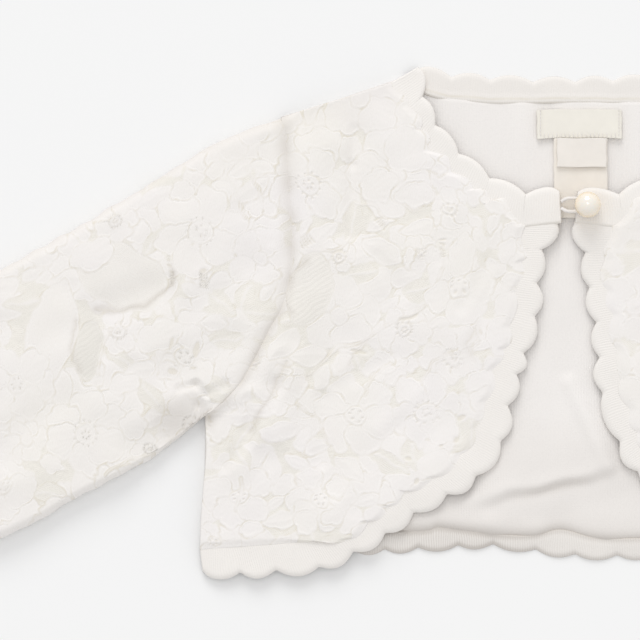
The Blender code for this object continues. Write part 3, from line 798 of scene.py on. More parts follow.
def slab(name, top, bottom, material, values, turned=False):
    """A closed sheet between an upper and a lower grid of places."""
    lines, columns = top.shape[:2]
    count = lines * columns
    index = np.arange(count).reshape(lines, columns)
    border = np.concatenate([index[0], index[1:, -1], index[-1, -2::-1], index[-2:0:-1, 0]])
    after = np.roll(border, -1)
    rim = [border, after, after + count, border + count]
    if not turned:
        rim.reverse()
    quads = np.vstack([grid_quads(index, turned), grid_quads(index + count, not turned),
                       np.stack(rim, -1)])
    points = np.vstack([top.reshape(-1, 3), bottom.reshape(-1, 3)])
    doubled = {key: np.tile(np.ravel(value), 2) for key, value in values.items()}
    return mesh_from_quads(name, points, quads, material, doubled)


def with_rim(places, thickness):
    """The grid with two more rows all round: a rounded edge and the fold under it."""
    grown = np.pad(places, ((2, 2), (2, 2), (0, 0)), mode="edge")
    for axis in (0, 1):
        rows = np.swapaxes(grown, 0, axis)
        for first, ring, fold, after in ((2, 1, 0, 3), (-3, -2, -1, -4)):
            outward = rows[first] - rows[after]
            outward[:, 2] = 0.0
            length = np.linalg.norm(outward, axis=1)[:, None]
            outward = outward / np.maximum(length, 1e-6)
            rows[ring] = rows[first] + outward * RIM_ROUNDING
            rows[ring, :, 2] -= 0.5 * thickness
            rows[fold] = rows[first]
            rows[fold, :, 2] -= thickness
    grown[..., 2] = np.maximum(grown[..., 2], 0.0)
    return grown


def grown_values(values):
    """Values of a grid with the two rim rows repeated."""
    return {key: np.pad(value, 2, mode="edge") for key, value in values.items()}


def coons(top, bottom, left, right):
    """A grid of places that fills four edges, in rows from top to bottom."""
    t = np.linspace(0.0, 1.0, len(left))[:, None, None]
    s = np.linspace(0.0, 1.0, len(top))[None, :, None]
    sides = top[None] * (1 - t) + bottom[None] * t + left[:, None] * (1 - s) + right[:, None] * s
    corners = (top[0] * (1 - s) + top[-1] * s) * (1 - t)
    corners = corners + (bottom[0] * (1 - s) + bottom[-1] * s) * t
    return sides - corners


def raised(plan, height):
    """Places in plan with their heights."""
    return np.concatenate([plan, height[..., None]], axis=-1)


def on_side(plan, side):
    """Out and up as across and up, on one side of the garment."""
    return plan * np.array([side, 1.0])


# Lace

def wander(across, up, seed):
    """How far the lace's shapes are pulled aside at places."""
    broad = soft_noise(across, up, 6.5, seed)
    return WANDER * broad + FINE_WANDER * soft_noise(across, up, 2.0, seed + 1)


def blank_lace(across, up, seed):
    """Relief and tones of plain net at places of the cloth.

    The shapes are laid by coordinates that wander a little, so that no outline
    is a true oval.
    """
    lift = NET_LIFT + 0.05 * soft_noise(across, up, 1.5, seed)
    lift = lift + 0.04 * soft_noise(across, up, 4.0, seed + 1)
    return {
        "across": across + wander(across, up, seed + 3),
        "up": up + wander(across, up, seed + 5),
        "lift": lift,
        "satin": np.zeros_like(across),
        "net": np.ones_like(across),
        "grey": np.zeros_like(across),
        "shade": np.zeros_like(across),
        "edge": np.full_like(across, FAR_FROM_EDGE),
        "hole": np.full_like(across, FAR_FROM_EDGE),
    }


def near(lace, across, up, reach):
    """Which places of the lace are near one point, and their offsets from it."""
    offset_x = lace["across"] - across
    offset_y = lace["up"] - up
    where = np.nonzero((np.abs(offset_x) < reach) & (np.abs(offset_y) < reach))
    return where, offset_x[where], offset_y[where]


def turned(x, y, degrees):
    """Offsets as seen from a shape that is turned."""
    angle = math.radians(degrees)
    return x * math.cos(angle) + y * math.sin(angle), y * math.cos(angle) - x * math.sin(angle)


def oval_distance(x, y, half_long, half_wide):
    """Distance from an oval's edge, below zero inside it."""
    near_one = np.hypot(x / half_long, y / half_wide)
    slope = np.hypot(x / half_long ** 2, y / half_wide ** 2)
    return near_one * (near_one - 1.0) / np.maximum(slope, 1e-6)


def leaf_distance(x, y, length, width):
    """Distance from the edge of a leaf with two points."""
    radius = (length ** 2 + width ** 2) / (4.0 * width)
    offset = radius - width / 2.0
    return np.maximum(np.hypot(x, y + offset), np.hypot(x, y - offset)) - radius


def lay(lace, where, distance, lift, satin=1.0, net=0.0, grey=0.0):
    """Lay one shape on the lace.

    The lace keeps the distance from the nearest outline that shows, from which
    the material paints the raised cord's highlight and the shade in the gap beside it.
    """
    inside = ease(0.5 - distance / EDGE_SOFTNESS)
    covered = distance < 0.0
    ridge = hump(distance, -CORD_INSET, CORD_HALF_WIDTH)
    top = lift + DOME_LIFT * ease(-distance / 3.5) + CORD_LIFT * ridge
    lace["lift"][where] += (top - lace["lift"][where]) * inside
    for key, value in (("satin", satin), ("net", net), ("grey", grey)):
        lace[key][where] += (value - lace[key][where]) * inside
    away = np.abs(distance)
    nearer = covered | (away < lace["edge"][where])
    lace["edge"][where] = np.where(nearer, away, lace["edge"][where])
    lace["hole"][where] = np.where(covered, FAR_FROM_EDGE, lace["hole"][where])


def lay_petal(lace, across, up, half_long, half_wide, degrees, lift, lobes=5):
    """One smooth petal with a lobed edge and faint ribs from its foot to its edge."""
    where, x, y = near(lace, across, up, max(half_long, half_wide) * 1.2 + 2.0)
    x, y = turned(x, y, degrees)
    distance = oval_distance(x, y, half_long, half_wide)
    if lobes > 0:
        around = np.arctan2(y / half_wide, x / half_long)
        waves = np.abs(np.sin(0.5 * lobes * around + across + up))
        distance = distance + LOBE_DEPTH * min(half_wide, 5.0) * (0.5 - waves ** 0.7)
    ribs = 0.02 * np.sin(np.arctan2(y, x + half_long) * PETAL_RIBS) * ease(-distance / 1.2)
    lay(lace, where, distance, lift + ribs)


def lay_net_oval(lace, oval):
    """A broad rounded leaf of ribbed net, lower than the petals round it."""
    where, x, y = near(lace, oval.across, oval.up, oval.half_long + 2.0)
    x, y = turned(x, y, oval.turn)
    distance = oval_distance(x, y, oval.half_long, oval.half_wide)
    ribs = 0.05 * np.sin((x + y) * 2.0 * math.pi / LEAF_RIB_PITCH) * ease(-distance / 1.0)
    lay(lace, where, distance, 0.10 - 0.06 * oval.grey + ribs, satin=0.55, net=0.65, grey=oval.grey)


def lay_disc(lace, disc):
    """One petal from a table."""
    lay_petal(lace, disc.across, disc.up, disc.half_long, disc.half_wide, disc.turn,
              0.4 * disc.lift)


def lay_leaf(lace, leaf):
    """A leaf with a middle vein, filled with thread or with net."""
    where, x, y = near(lace, leaf.across, leaf.up, leaf.length / 2.0 + 2.0)
    x, y = turned(x, y, leaf.turn)
    distance = leaf_distance(x, y, leaf.length, leaf.width)
    vein = hump(y, 0.0, 0.45) * ease((leaf.length / 2.0 - np.abs(x)) / 2.0)
    slanted = np.sin((np.abs(y) * 0.8 - x) * 2.0 * math.pi / LEAF_RIB_PITCH)
    filled = leaf.fill == "satin"
    ribs = (0.015 if filled else 0.03) * slanted * ease(-distance / 1.0)
    lift = (0.16 if filled else 0.11) + ribs + 0.06 * vein
    satin = np.maximum(0.95 if filled else 0.1, vein)
    net = 0.0 if filled else 1.0 - vein
    lay(lace, where, distance, lift, satin=satin, net=net)


def lay_eyelet(lace, across, up, half_long, half_wide, degrees):
    """A small hole in the lace with a raised thread round it."""
    where, x, y = near(lace, across, up, half_long + FAR_FROM_EDGE)
    x, y = turned(x, y, degrees)
    distance = oval_distance(x, y, half_long, half_wide)
    hole = ease(0.5 - distance / 0.6)
    ring = hump(distance, 0.5, 0.4)
    lace["lift"][where] += 0.06 * ring - 0.75 * lace["lift"][where] * hole
    # The hole's distance is kept so that the material paints the hole dark as shade.
    lace["hole"][where] = np.minimum(lace["hole"][where], distance)
    lace["net"][where] *= 1.0 - np.maximum(hole, ring)


def lay_ring_of_eyelets(lace, across, up, radius, count, size, degrees=0.0):
    """Small holes set round a circle."""
    for step in range(count):
        angle = math.radians(degrees) + 2.0 * math.pi * step / count
        lay_eyelet(lace, across + radius * math.cos(angle), up + radius * math.sin(angle),
                   size, size * 0.75, math.degrees(angle))


def near_line(lace, points):
    """Which places of the lace are near a smooth line, and how far they are from it."""
    path = smooth_path(points)[::3]
    centre = path.mean(axis=0)
    reach = np.abs(path - centre).max() + 2.5
    where, x, y = near(lace, centre[0], centre[1], reach)
    x = x + centre[0]
    y = y + centre[1]
    away = np.full_like(x, 1e3)
    for start, end in zip(path, path[1:]):
        line = end - start
        share = ((x - start[0]) * line[0] + (y - start[1]) * line[1]) / max(line @ line, 1e-9)
        share = np.clip(share, 0.0, 1.0)
        away = np.minimum(away, np.hypot(x - start[0] - line[0] * share,
                                         y - start[1] - line[1] * share))
    return where, away


def lay_twig(lace, points, half_width=0.45, lift=0.24):
    """A raised cord along a smooth line."""
    where, away = near_line(lace, points)
    lay(lace, where, away - half_width, lift)


def lay_slit(lace, slit):
    """A narrow sunk line beside a leaf, where the cloth under the lace shows; the line and a band round
    it are painted darker as shade.
    """
    where, away = near_line(lace, slit.points)
    distance = away - SLIT_HALF_WIDTH
    lace["lift"][where] -= 0.06 * ease(0.5 - distance / 0.9)
    lace["hole"][where] = np.minimum(lace["hole"][where], distance + SLIT_PALENESS)
    around = slit.shade * ease(1.0 - away / SLIT_SHADE_REACH)
    lace["shade"][where] = np.maximum(lace["shade"][where], around)


def lay_ladder(lace, ladder):
    """A row of small holes along a line, each with a raised thread round it, and bars of lace between
    them.
    """
    start = np.array([ladder.across_a, ladder.up_a])
    line = np.array([ladder.across_b, ladder.up_b]) - start
    degrees = math.degrees(math.atan2(line[1], line[0]))
    spacing = np.linalg.norm(line) / ladder.bars
    for step in range(ladder.bars):
        place = start + line * (step + 0.5) / ladder.bars
        lay_eyelet(lace, place[0], place[1], ladder.width / 2.0, spacing * 0.27, degrees + 90.0)


def lay_heart(lace, flower):
    """The middle of a flower."""
    heart = flower.radius * 0.30
    lay_petal(lace, flower.across, flower.up, heart, heart * 0.86, flower.turn, 0.24, lobes=0)
    if flower.heart == "ring":
        lay_ring_of_eyelets(lace, flower.across, flower.up, heart + 0.3, 13, 0.42, flower.turn)
        lay_ring_of_eyelets(lace, flower.across, flower.up, heart * 0.36, 6, 0.40, flower.turn)
    elif flower.heart == "star":
        lay_ring_of_eyelets(lace, flower.across, flower.up, heart * 0.55, 6, 0.45, flower.turn)


def lay_flower(lace, flower):
    """A full flower: one round of broad petals, each a little different, and a heart."""
    rng = np.random.default_rng(int(abs(flower.across * 31.0 + flower.up * 17.0)) + flower.petals)
    for step in range(flower.petals):
        angle = flower.turn + 360.0 * step / flower.petals + rng.uniform(-9.0, 9.0)
        out = flower.radius * rng.uniform(0.54, 0.66)
        half_long = flower.radius * rng.uniform(0.42, 0.52)
        half_wide = flower.radius * rng.uniform(0.42, 0.52) * 5.5 / flower.petals
        across = flower.across + out * math.cos(math.radians(angle))
        up = flower.up + out * math.sin(math.radians(angle))
        lay_petal(lace, across, up, half_long, half_wide, angle, 0.15 + 0.02 * (step % 3))
    lay_heart(lace, flower)


def place_for(rng, box):
    """A place by chance in a box."""
    return rng.uniform(box[0], box[1]), rng.uniform(box[2], box[3])


def room_at(across, up, placed):
    """How far a place is from every shape already there."""
    return min((math.hypot(across - x, up - y) - r for x, y, r in placed), default=FAR_AWAY)


def fill_in(lace, box, taken, seed):
    """Flowers, leaves and single petals by seeded chance wherever the tables leave room."""
    rng = np.random.default_rng(seed)
    size = (box[1] - box[0]) * (box[3] - box[2])
    placed = list(taken)
    flowers = []
    tries = int(size / AREA_PER_FLOWER)
    for attempt in range(tries):
        radius = rng.uniform(*(BIG_FLOWERS if attempt < tries // 2 else SMALL_FLOWERS))
        across, up = place_for(rng, box)
        if room_at(across, up, placed) > radius * FLOWER_ROOM:
            placed.append((across, up, radius))
            flowers.append(Flower(across, up, radius, int(rng.integers(5, 7)),
                                  rng.uniform(0.0, 72.0), rng.choice(["ring", "star", "plain"])))
    leaves = []
    for _ in range(int(size / AREA_PER_LEAF)):
        across, up = place_for(rng, box)
        length = rng.uniform(*LEAF_LENGTHS)
        if room_at(across, up, placed) > length * LEAF_ROOM:
            placed.append((across, up, length * LEAF_TAKES))
            leaves.append(Leaf(across, up, length, length * rng.uniform(0.42, 0.58),
                               rng.uniform(0.0, 180.0), rng.choice(["satin", "net", "satin"])))
    petals = []
    for _ in range(int(size / AREA_PER_PETAL)):
        across, up = place_for(rng, box)
        reach = PETAL_SIZE * (1.0 + rng.random() ** 1.3)
        if room_at(across, up, placed) > reach * PETAL_ROOM:
            placed.append((across, up, reach * PETAL_TAKES))
            petals.append((across, up, reach, reach * rng.uniform(0.65, 0.9), rng.uniform(0.0, 180.0)))
    for petal in petals:
        lay_petal(lace, *petal, 0.14)
    for leaf in leaves:
        lay_leaf(lace, leaf)
    for flower in flowers:
        lay_flower(lace, flower)


def lay_shown(lace):
    """The motifs that the photograph shows, from the tables."""
    for motifs, lay_motif in ((SHOWN_LEAVES, lay_leaf), (SHOWN_FLOWERS, lay_flower),
                              (SHOWN_NET_OVALS, lay_net_oval), (SHOWN_TWIGS, lay_twig),
                              (SHOWN_DISCS, lay_disc), (SHOWN_SLITS, lay_slit),
                              (SHOWN_LADDERS, lay_ladder)):
        for motif in motifs:
            lay_motif(lace, motif)
    for eyelet in SHOWN_EYELETS:
        lay_eyelet(lace, *eyelet)


def shown_room():
    """Places that the tables already fill: across, up and radius."""
    taken = [(f.across, f.up, f.radius) for f in SHOWN_FLOWERS]
    taken += [(d.across, d.up, d.half_long) for d in SHOWN_DISCS]
    taken += [(oval.across, oval.up, oval.half_wide * 0.9) for oval in SHOWN_NET_OVALS]
    taken += [(leaf.across, leaf.up, leaf.length * 0.4) for leaf in SHOWN_LEAVES]
    return taken


def cloth_swell(across, up, seed):
    """The uneven puffiness of washed cloth."""
    fine = soft_noise(across, up, 9.0, seed + 60)
    return FINE_SWELL * fine + BROAD_SWELL * soft_noise(across, up, 22.0, seed + 61)


def lace_at(across, up, shown, seed):
    """The whole lace pattern at places of a cloth."""
    lace = blank_lace(across, up, seed)
    box = (across.min(), across.max(), up.min(), up.max())
    fill_in(lace, box, shown_room() if shown else [], seed)
    if shown:
        lay_shown(lace)
    lace["lift"] = np.clip(lace["lift"], -0.25, MOST_RELIEF)
    return lace


def lace_values(lace):
    """The values that the lace's material reads."""
    return {
        "satin": lace["satin"], "net": lace["net"], "grey": lace["grey"],
        "edge": lace["edge"], "hole": lace["hole"], "shade": lace["shade"],
        "cloth_x": lace["across"], "cloth_y": lace["up"],
    }


# Materials

class Signal:
    """A value in a shader. Arithmetic on it adds Math nodes."""

    def __init__(self, surface, socket):
        self.surface = surface
        self.socket = socket

    def math(self, operation, *others):
        """The signal of one Math node on this signal and numbers or other signals."""
        node = self.surface.node("Math", operation=operation)
        for socket, value in zip(node.inputs, (self, *others)):
            self.surface.feed(socket, value)
        return Signal(self.surface, node.outputs[0])

    def __add__(self, other):
        return self.math("ADD", other)

    def __sub__(self, other):
        return self.math("SUBTRACT", other)

    def __mul__(self, other):
        return self.math("MULTIPLY", other)

    def __abs__(self):
        return self.math("ABSOLUTE")

    def at_least(self, low):
        """The larger of this signal and another or a number."""
        return self.math("MAXIMUM", low)

    def wave(self, pitch):
        """A sine along this signal, which is a coordinate in millimetres."""
        return (self * (2.0 * math.pi / pitch)).math("SINE")

    def band(self, middle, half_width):
        """1 where this signal is at the middle, and 0 past the half width."""
        near_middle = (abs(self - middle) * (-1.0 / half_width) + 1.0).at_least(0.0)
        return near_middle.math("SMOOTH_MIN", 1.0, 0.2)


class Surface:
    """A Principled material while its nodes are made."""

    def __init__(self, name):
        self.material = bpy.data.materials.new(name)
        self.material.use_nodes = True
        self.tree = self.material.node_tree
        self.shader = self.tree.nodes["Principled BSDF"]

    def node(self, kind, **settings):
        """A node with some of its settings."""
        node = self.tree.nodes.new("ShaderNode" + kind)
        for key, value in settings.items():
            setattr(node, key, value)
        return node

    def feed(self, socket, value):
        """Link a signal to a socket, or set the socket to a number or a colour."""
        if isinstance(value, Signal):
            self.tree.links.new(value.socket, socket)
        elif isinstance(value, tuple):
            socket.default_value = (*value, 1.0)
        else:
            socket.default_value = value

    def value(self, name):
        """A value stored on the mesh."""
        return Signal(self, self.node("Attribute", attribute_name=name).outputs["Fac"])

    def noise(self, size, detail=2.0):
        """Noise round 0.5 with features of a size in millimetres."""
        node = self.node("TexNoise")
        node.inputs["Scale"].default_value = 1.0 / (size * MM)
        node.inputs["Detail"].default_value = detail
        self.tree.links.new(self.node("TexCoord").outputs["Object"], node.inputs["Vector"])
        return Signal(self, node.outputs["Fac"])

    def mix(self, share, first, second):
        """A colour between two colours."""
        node = self.node("Mix", data_type="RGBA")
        for index, value in ((0, share), (6, first), (7, second)):
            self.feed(node.inputs[index], value)
        return Signal(self, node.outputs[2])

    def relief(self, height, depth):
        """Fine relief of a depth in millimetres on the shader."""
        node = self.node("Bump")
        node.inputs["Strength"].default_value = 1.0
        node.inputs["Distance"].default_value = depth * MM
        self.feed(node.inputs["Height"], height)
        self.tree.links.new(node.outputs["Normal"], self.shader.inputs["Normal"])

    def finish(self, colour, settings):
        """Link the colour, set the shader's other values, and give the material."""
        self.feed(self.shader.inputs["Base Color"], colour)
        for key, value in settings.items():
            self.shader.inputs[key].default_value = value
        return self.material


def cotton_gloss(roughness, sheen):
    """The shader's values for cotton thread."""
    return {"Roughness": roughness, "Specular IOR Level": 0.12,
            "Sheen Weight": sheen, "Sheen Roughness": 0.5}


def deeper(colour, share):
    """A colour with a share of its light."""
    return tuple(share * c for c in colour)


def lace_material():
    """Cotton lace: satin thread, net with small holes, corded outlines and eyelets."""
    lace = Surface("lace")
    across = lace.value("cloth_x")
    up = lace.value("cloth_y")
    edge = lace.value("edge")
    satin = lace.value("satin")
    slant = across * 0.5 + up
    other = across * 0.5 - up
    holes = abs(slant.wave(NET_PITCH) * other.wave(NET_PITCH)) * lace.value("net")
    dots = abs(slant.wave(DOT_PITCH) * other.wave(DOT_PITCH)) * 0.6 + 0.4
    fuzz = lace.noise(0.9)
    patchy = (lace.noise(5.0) * 3.6 - 1.25).at_least(LEAST_OUTLINE).math("MINIMUM", MOST_OUTLINE)
    outline = edge.band(0.0, OUTLINE_HALF_WIDTH) * dots * patchy
    # The raised cord is painted brighter than the satin round it: a painted highlight.
    cord = edge.band(1.6 * CORD_INSET, 0.42) * fuzz * patchy * 1.5 * satin
    pierced = lace.value("hole").at_least(-0.3).band(-0.3, 0.6)
    aged = (lace.noise(40.0) * 1.6 - 0.5).at_least(0.0) * 0.95
    colour = lace.mix(satin, NET_THREAD, SATIN_THREAD)
    # The mesh's shade values lay painted shade over the lace, in the shaded cotton's colour.
    for share, tint in ((lace.value("grey"), GREY_NET), (aged, WARM_THREAD), (cord, CORD_HIGHLIGHT),
                        (lace.value("shade"), SHADED_COTTON)):
        colour = lace.mix(share, colour, tint)
    # Painted shade in the net's holes, along the dotted outlines and in the eyelets, with a little
    # uneven tone from the fuzz.
    gap_shading = holes * 0.20 + fuzz * 0.09
    gap_shading = gap_shading.at_least(outline * OUTLINE_SHADE).at_least(pierced * HOLE_SHADE)
    threads = across.wave(SATIN_PITCH) * satin
    height = fuzz * 0.8 - holes * 0.6 + threads * 0.14 + cord * 0.9 - outline * 0.6 - pierced
    lace.relief(height, 0.085)
    return lace.finish(lace.mix(gap_shading, colour, GAP_SHADE), cotton_gloss(0.8, 0.1))


def knit_material():
    """Fine knit: columns of stitches, each row a little lower between them."""
    knit = Surface("knit")
    columns = knit.value("cloth_x").wave(KNIT_COLUMN_PITCH)
    rows = (knit.value("cloth_y") + columns * 0.12).wave(KNIT_ROW_PITCH)
    fuzz = knit.noise(0.7, 3.0)
    knit.relief(columns * 0.16 + rows * 0.06 + fuzz, 0.10)
    tone = fuzz * 0.6 + knit.noise(14.0) * 0.5
    colour = knit.mix(tone, deeper(KNIT_YARN, 0.94), KNIT_YARN)
    # Painted shade from the mesh's shade values, which only the back has: its low part, its fold and its
    # hem.
    colour = knit.mix(knit.value("shade"), colour, SHADED_COTTON)
    return knit.finish(colour, cotton_gloss(0.85, 0.15))


def rib_material():
    """Knitted edging; its ribs are in the mesh."""
    rib = Surface("rib")
    # The troughs between the ribs are painted a little darker, as shade.
    colour = rib.mix(rib.value("crest"), deeper(RIB_YARN, 0.972), RIB_YARN)
    # Painted shade in the groove between the two ridges and along the seam.
    colour = rib.mix(rib.value("groove_and_seam_shade"), colour, GAP_SHADE)
    # Painted shade on the hem's low band, most at its rims; the back's neck band is darkened evenly by
    # its tone.
    colour = rib.mix(rib.value("shade"), colour, SHADED_COTTON)
    rib.relief(rib.noise(0.5, 3.0), 0.10)
    return rib.finish(colour, cotton_gloss(0.85, 0.15))


def thread_material():
    """Plain sewing thread."""
    thread = Surface("thread")
    colour = thread.mix(thread.noise(0.4), deeper(KNIT_YARN, 0.9), KNIT_YARN)
    return thread.finish(colour, cotton_gloss(0.6, 0.1))


def woven_material(name, colour, roughness):
    """Narrow woven tape with a fine weave."""
    tape = Surface(name)
    tape.relief(tape.value("cloth_x").wave(0.42) * tape.value("cloth_y").wave(0.36), 0.015)
    colour = tape.mix(tape.noise(3.0), deeper(colour, 0.94), colour)
    return tape.finish(colour, cotton_gloss(roughness, 0.1))


def pearl_material():
    """Pearl bead: cream body, painted golden low down for the warm reflection and shade at its rim,
    under a clear gloss.
    """
    pearl = Surface("pearl")
    tint = pearl.mix(pearl.noise(2.2), PEARL_CREAM, PEARL_PALE)
    tint = pearl.mix(pearl.value("low"), tint, PEARL_PAINTED_RIM)
    return pearl.finish(tint, {
        "Roughness": 0.22, "Subsurface Weight": 0.12, "Subsurface Scale": 0.4,
        "Subsurface Radius": (0.003, 0.0024, 0.0018),
        "Coat Weight": 1.0, "Coat Roughness": 0.07, "Coat IOR": 2.0,
    })


def floor_material():
    """Plain pale studio floor."""
    return Surface("floor").finish(FLOOR_WHITE, {"Roughness": 0.95, "Specular IOR Level": 0.0})


# Fronts

def lobed_overlap(path, corner, seed):
    """How far the lace's uneven edge lies over the bands at each point of their seam."""
    reach = path_reach(path)
    away = np.linalg.norm(path - np.array(corner), axis=1)
    end = np.minimum(reach, reach[-1] - reach)
    lobes = np.abs(np.sin(np.pi * reach / OVERLAP_LOBE + 0.8 * soft_noise(reach, reach, 20.0, seed)))
    amount = OVERLAP * (LEAST_OVERLAP + LOBE_OVERLAP * lobes)
    amount = amount + OVERLAP_UNEVENNESS * soft_noise(reach, reach, 9.0, seed + 1)
    return amount * ease(away / OVERLAP_CORNER) * ease(end / OVERLAP_END)


def front_plan(edge_table, cell, overlap_seed=None):
    """Plan of one front in out and up, rows from the shoulder to the hem.

    With a seed, the cloth lies over the armhole seam and, unevenly, over the bands.
    """
    over_seam = overlap_seed is not None
    armhole = shifted(smooth_path(ARMHOLE), -ARMHOLE_OVERLAP if over_seam else 1.2 * GAP)
    outer = np.vstack([armhole, smooth_path(SIDE)[1:]])
    inner = np.vstack([smooth_path(FRONT_NECK + [edge_table[0]]), smooth_path(edge_table)[1:]])
    lines = shares_of(FRONT_LENGTH, cell)
    columns = shares_of(FRONT_WIDTH, cell)[:, None]
    left = at_shares(outer, lines)
    right = at_shares(inner, lines)
    top = left[0] * (1 - columns) + right[0] * columns
    bottom = left[-1] * (1 - columns) + right[-1] * columns
    if over_seam:
        bottom = bottom - np.array([0.0, HEM_OVERLAP])
    plan = coons(top, bottom, left, right)
    if over_seam:
        amount = lobed_overlap(right, edge_table[0], overlap_seed)
        beside = ease(1.0 - border_distances(plan)[3] / OVERLAP_REACH)
        plan = plan + (sideways(right) * amount[:, None])[:, None] * beside[..., None]
    return plan


def seam_height(shares):
    """Height of the armhole seam in the looks, at shares of its way from the shoulder."""
    width = float(np.linalg.norm(np.subtract(ARMHOLE[-1], ARMHOLE[0])))
    level = quarter_round(np.minimum(shares, 1.0 - shares) * width / SLEEVE_EDGE_RADIUS)
    place = at_shares(smooth_path(ARMHOLE), shares)
    rise = sleeve_height(place[:, 0], place[:, 1], 0.0, shares)
    return SLEEVE_EDGE_RADIUS + (rise - SLEEVE_EDGE_RADIUS - SEAM_SINK) * level


def border_distances(plan):
    """Distance of each place of a grid from its top, bottom, left and right border."""
    down = np.linalg.norm(np.diff(plan, axis=0), axis=-1)
    over = np.linalg.norm(np.diff(plan, axis=1), axis=-1)
    from_top = np.pad(np.cumsum(down, axis=0), ((1, 0), (0, 0)))
    from_left = np.pad(np.cumsum(over, axis=1), ((0, 0), (1, 0)))
    return from_top, from_top[-1:] - from_top, from_left, from_left[:, -1:] - from_left


def plain_values(plan):
    """The values that a plain knit reads."""
    return {"cloth_x": plan[..., 0], "cloth_y": plan[..., 1]}


def front_face(plan, side, seed):
    """Height of a front's upper face without the lace's relief."""
    across = plan[..., 0]
    up = plan[..., 1]
    from_top, from_hem, from_armhole, from_edge = border_distances(plan)
    to_band = np.minimum(from_hem, from_edge)
    to_any = np.minimum(to_band, np.minimum(from_top, from_armhole))
    height = front_under(across, up) + KNIT + GAP + LACE
    height = height + cloth_swell(across, up, seed) * ease(to_any / SWELL_START)
    crease_shift = 0.0 if side < 0 else HIDDEN_FRONT_SHIFT
    height = height + fold_height(FRONT_CREASES, np.abs(across) + crease_shift, up + crease_shift)
    height = height - BAND_DIP * ease(1.0 - to_band / BAND_DIP_REACH)
    along, beside = along_armhole(plan)
    seam = seam_height(along)[:, None]
    height = height + (seam - height) * ease(1.0 - from_armhole / ARMHOLE_BLEND) * beside
    return height - ARMHOLE_UNDERLAP * ease(1.0 - from_armhole / UNDERLAP_REACH) * beside


def along_armhole(plan):
    """For each row of a front: its share of the armhole, and 1 beside it or 0 below."""
    reach = path_reach(plan[:, 0])
    length = path_reach(smooth_path(ARMHOLE))[-1]
    beside = 1.0 - ease((reach - length) / ARMHOLE_BLEND)
    return np.clip(reach / length, 0.0, 1.0), beside[:, None]


def seam_strength(out, up):
    """How much shade is painted on the cloth at the armhole: uneven, and more in its lower half."""
    patchy = 1.0 + SEAM_PATCHINESS * soft_noise(out, up, 5.0, 38)
    return SEAM_SHADE * patchy * (1.0 + LOW_SEAM_GAIN * ease((LOW_SEAM_UP - up) / LOW_SEAM_FADE))


def make_front_lace(word, side, edge_table, cell, seed, material):
    """The lace of one front, over its knit."""
    plan = on_side(front_plan(edge_table, cell, overlap_seed=seed), side)
    lace = lace_at(plan[..., 0], plan[..., 1], side < 0, seed)
    from_top, from_hem, from_armhole, from_edge = border_distances(plan)
    relief = lace["lift"] - RELIEF_MIDDLE
    relief = relief * ease(np.minimum(from_hem, from_edge) / RELIEF_START)
    height = front_face(plan, side, seed) + relief
    # Painted shade along the armhole seam, and on the shoulder's slope that faces the light.
    seam_shade = ease(1.0 - from_armhole / SEAM_SHADE_REACH) * along_armhole(plan)[1]
    seam_shade = seam_shade * seam_strength(plan[..., 0] * side, plan[..., 1])
    lace["shade"] = np.maximum(lace["shade"], seam_shade)
    lace["shade"] += SHOULDER_SHADE * ease(1.0 - from_top / SHOULDER_SHADE_REACH)
    grown = with_rim(raised(plan, height), 0.5 * LACE)
    piece = mesh_from_grid("front_lace_" + word, grown, material,
                           grown_values(lace_values(lace)), turned=side < 0)
    return dress(piece, "lace_front_" + word)


def make_front_knit(word, side, edge_table, seed, material):
    """The knit of one front, under its lace."""
    plan = on_side(front_plan(edge_table, PLAIN_CELL), side)
    top = front_face(plan, side, seed) - LACE - GAP - LINING_DROP
    under = np.maximum(top - KNIT, LEAST_FRONT_UNDER)
    top = np.maximum(top, under + THINNEST_KNIT)
    piece = slab("front_knit_" + word, raised(plan, top), raised(plan, under),
                 material, plain_values(plan), turned=side < 0)
    return dress(piece, "front_" + word)


# Back

def back_plan(cell):
    """Plan of the back, rows from the neck to the hem."""
    armhole = shifted(smooth_path(ARMHOLE), 1.2 * GAP)
    outer = np.vstack([armhole, smooth_path([SIDE[0], SIDE[2], BACK_HEM[-1]])[1:]])
    half = np.vstack([smooth_path(SHOULDER), smooth_path(BACK_NECK)])
    half[0] = outer[0]
    top = np.vstack([on_side(half, -1), on_side(half[::-1], 1)[1:]])
    columns = shares_of(BACK_WIDTH, cell)
    lines = shares_of(BACK_LENGTH, cell)
    left = on_side(at_shares(outer, lines), -1)
    right = on_side(at_shares(outer, lines), 1)
    return coons(at_shares(top, columns), at_shares(smooth_path(BACK_HEM), columns), left, right)


def above_drop(across, up):
    """How far places are above the line of the back's sharp fold."""
    line = np.array(BACK_DROP)
    return up - np.interp(across, line[:, 0], line[:, 1])


def open_share(across):
    """1 where the fronts leave the back open, and 0 under them."""
    return ease((OPEN_HALF - np.abs(across)) / OPEN_FADE)


def drop_height(across, up):
    """Extra height above the back's sharp fold, which falls away at its line."""
    above = above_drop(across, up) + 0.6 * soft_noise(across, up, 11.0, 36)
    ends = np.minimum(across - BACK_DROP[0][0], BACK_DROP[-1][0] - across)
    width = DROP_WIDTH * (0.8 + 0.9 * ease(np.abs(across - DARKEST_ACROSS) / 24.0))
    rise = ease(above / width + 0.5) * ease(1.0 - above / DROP_FADE)
    return DROP_DEPTH * rise * ease(ends / DROP_ENDS)


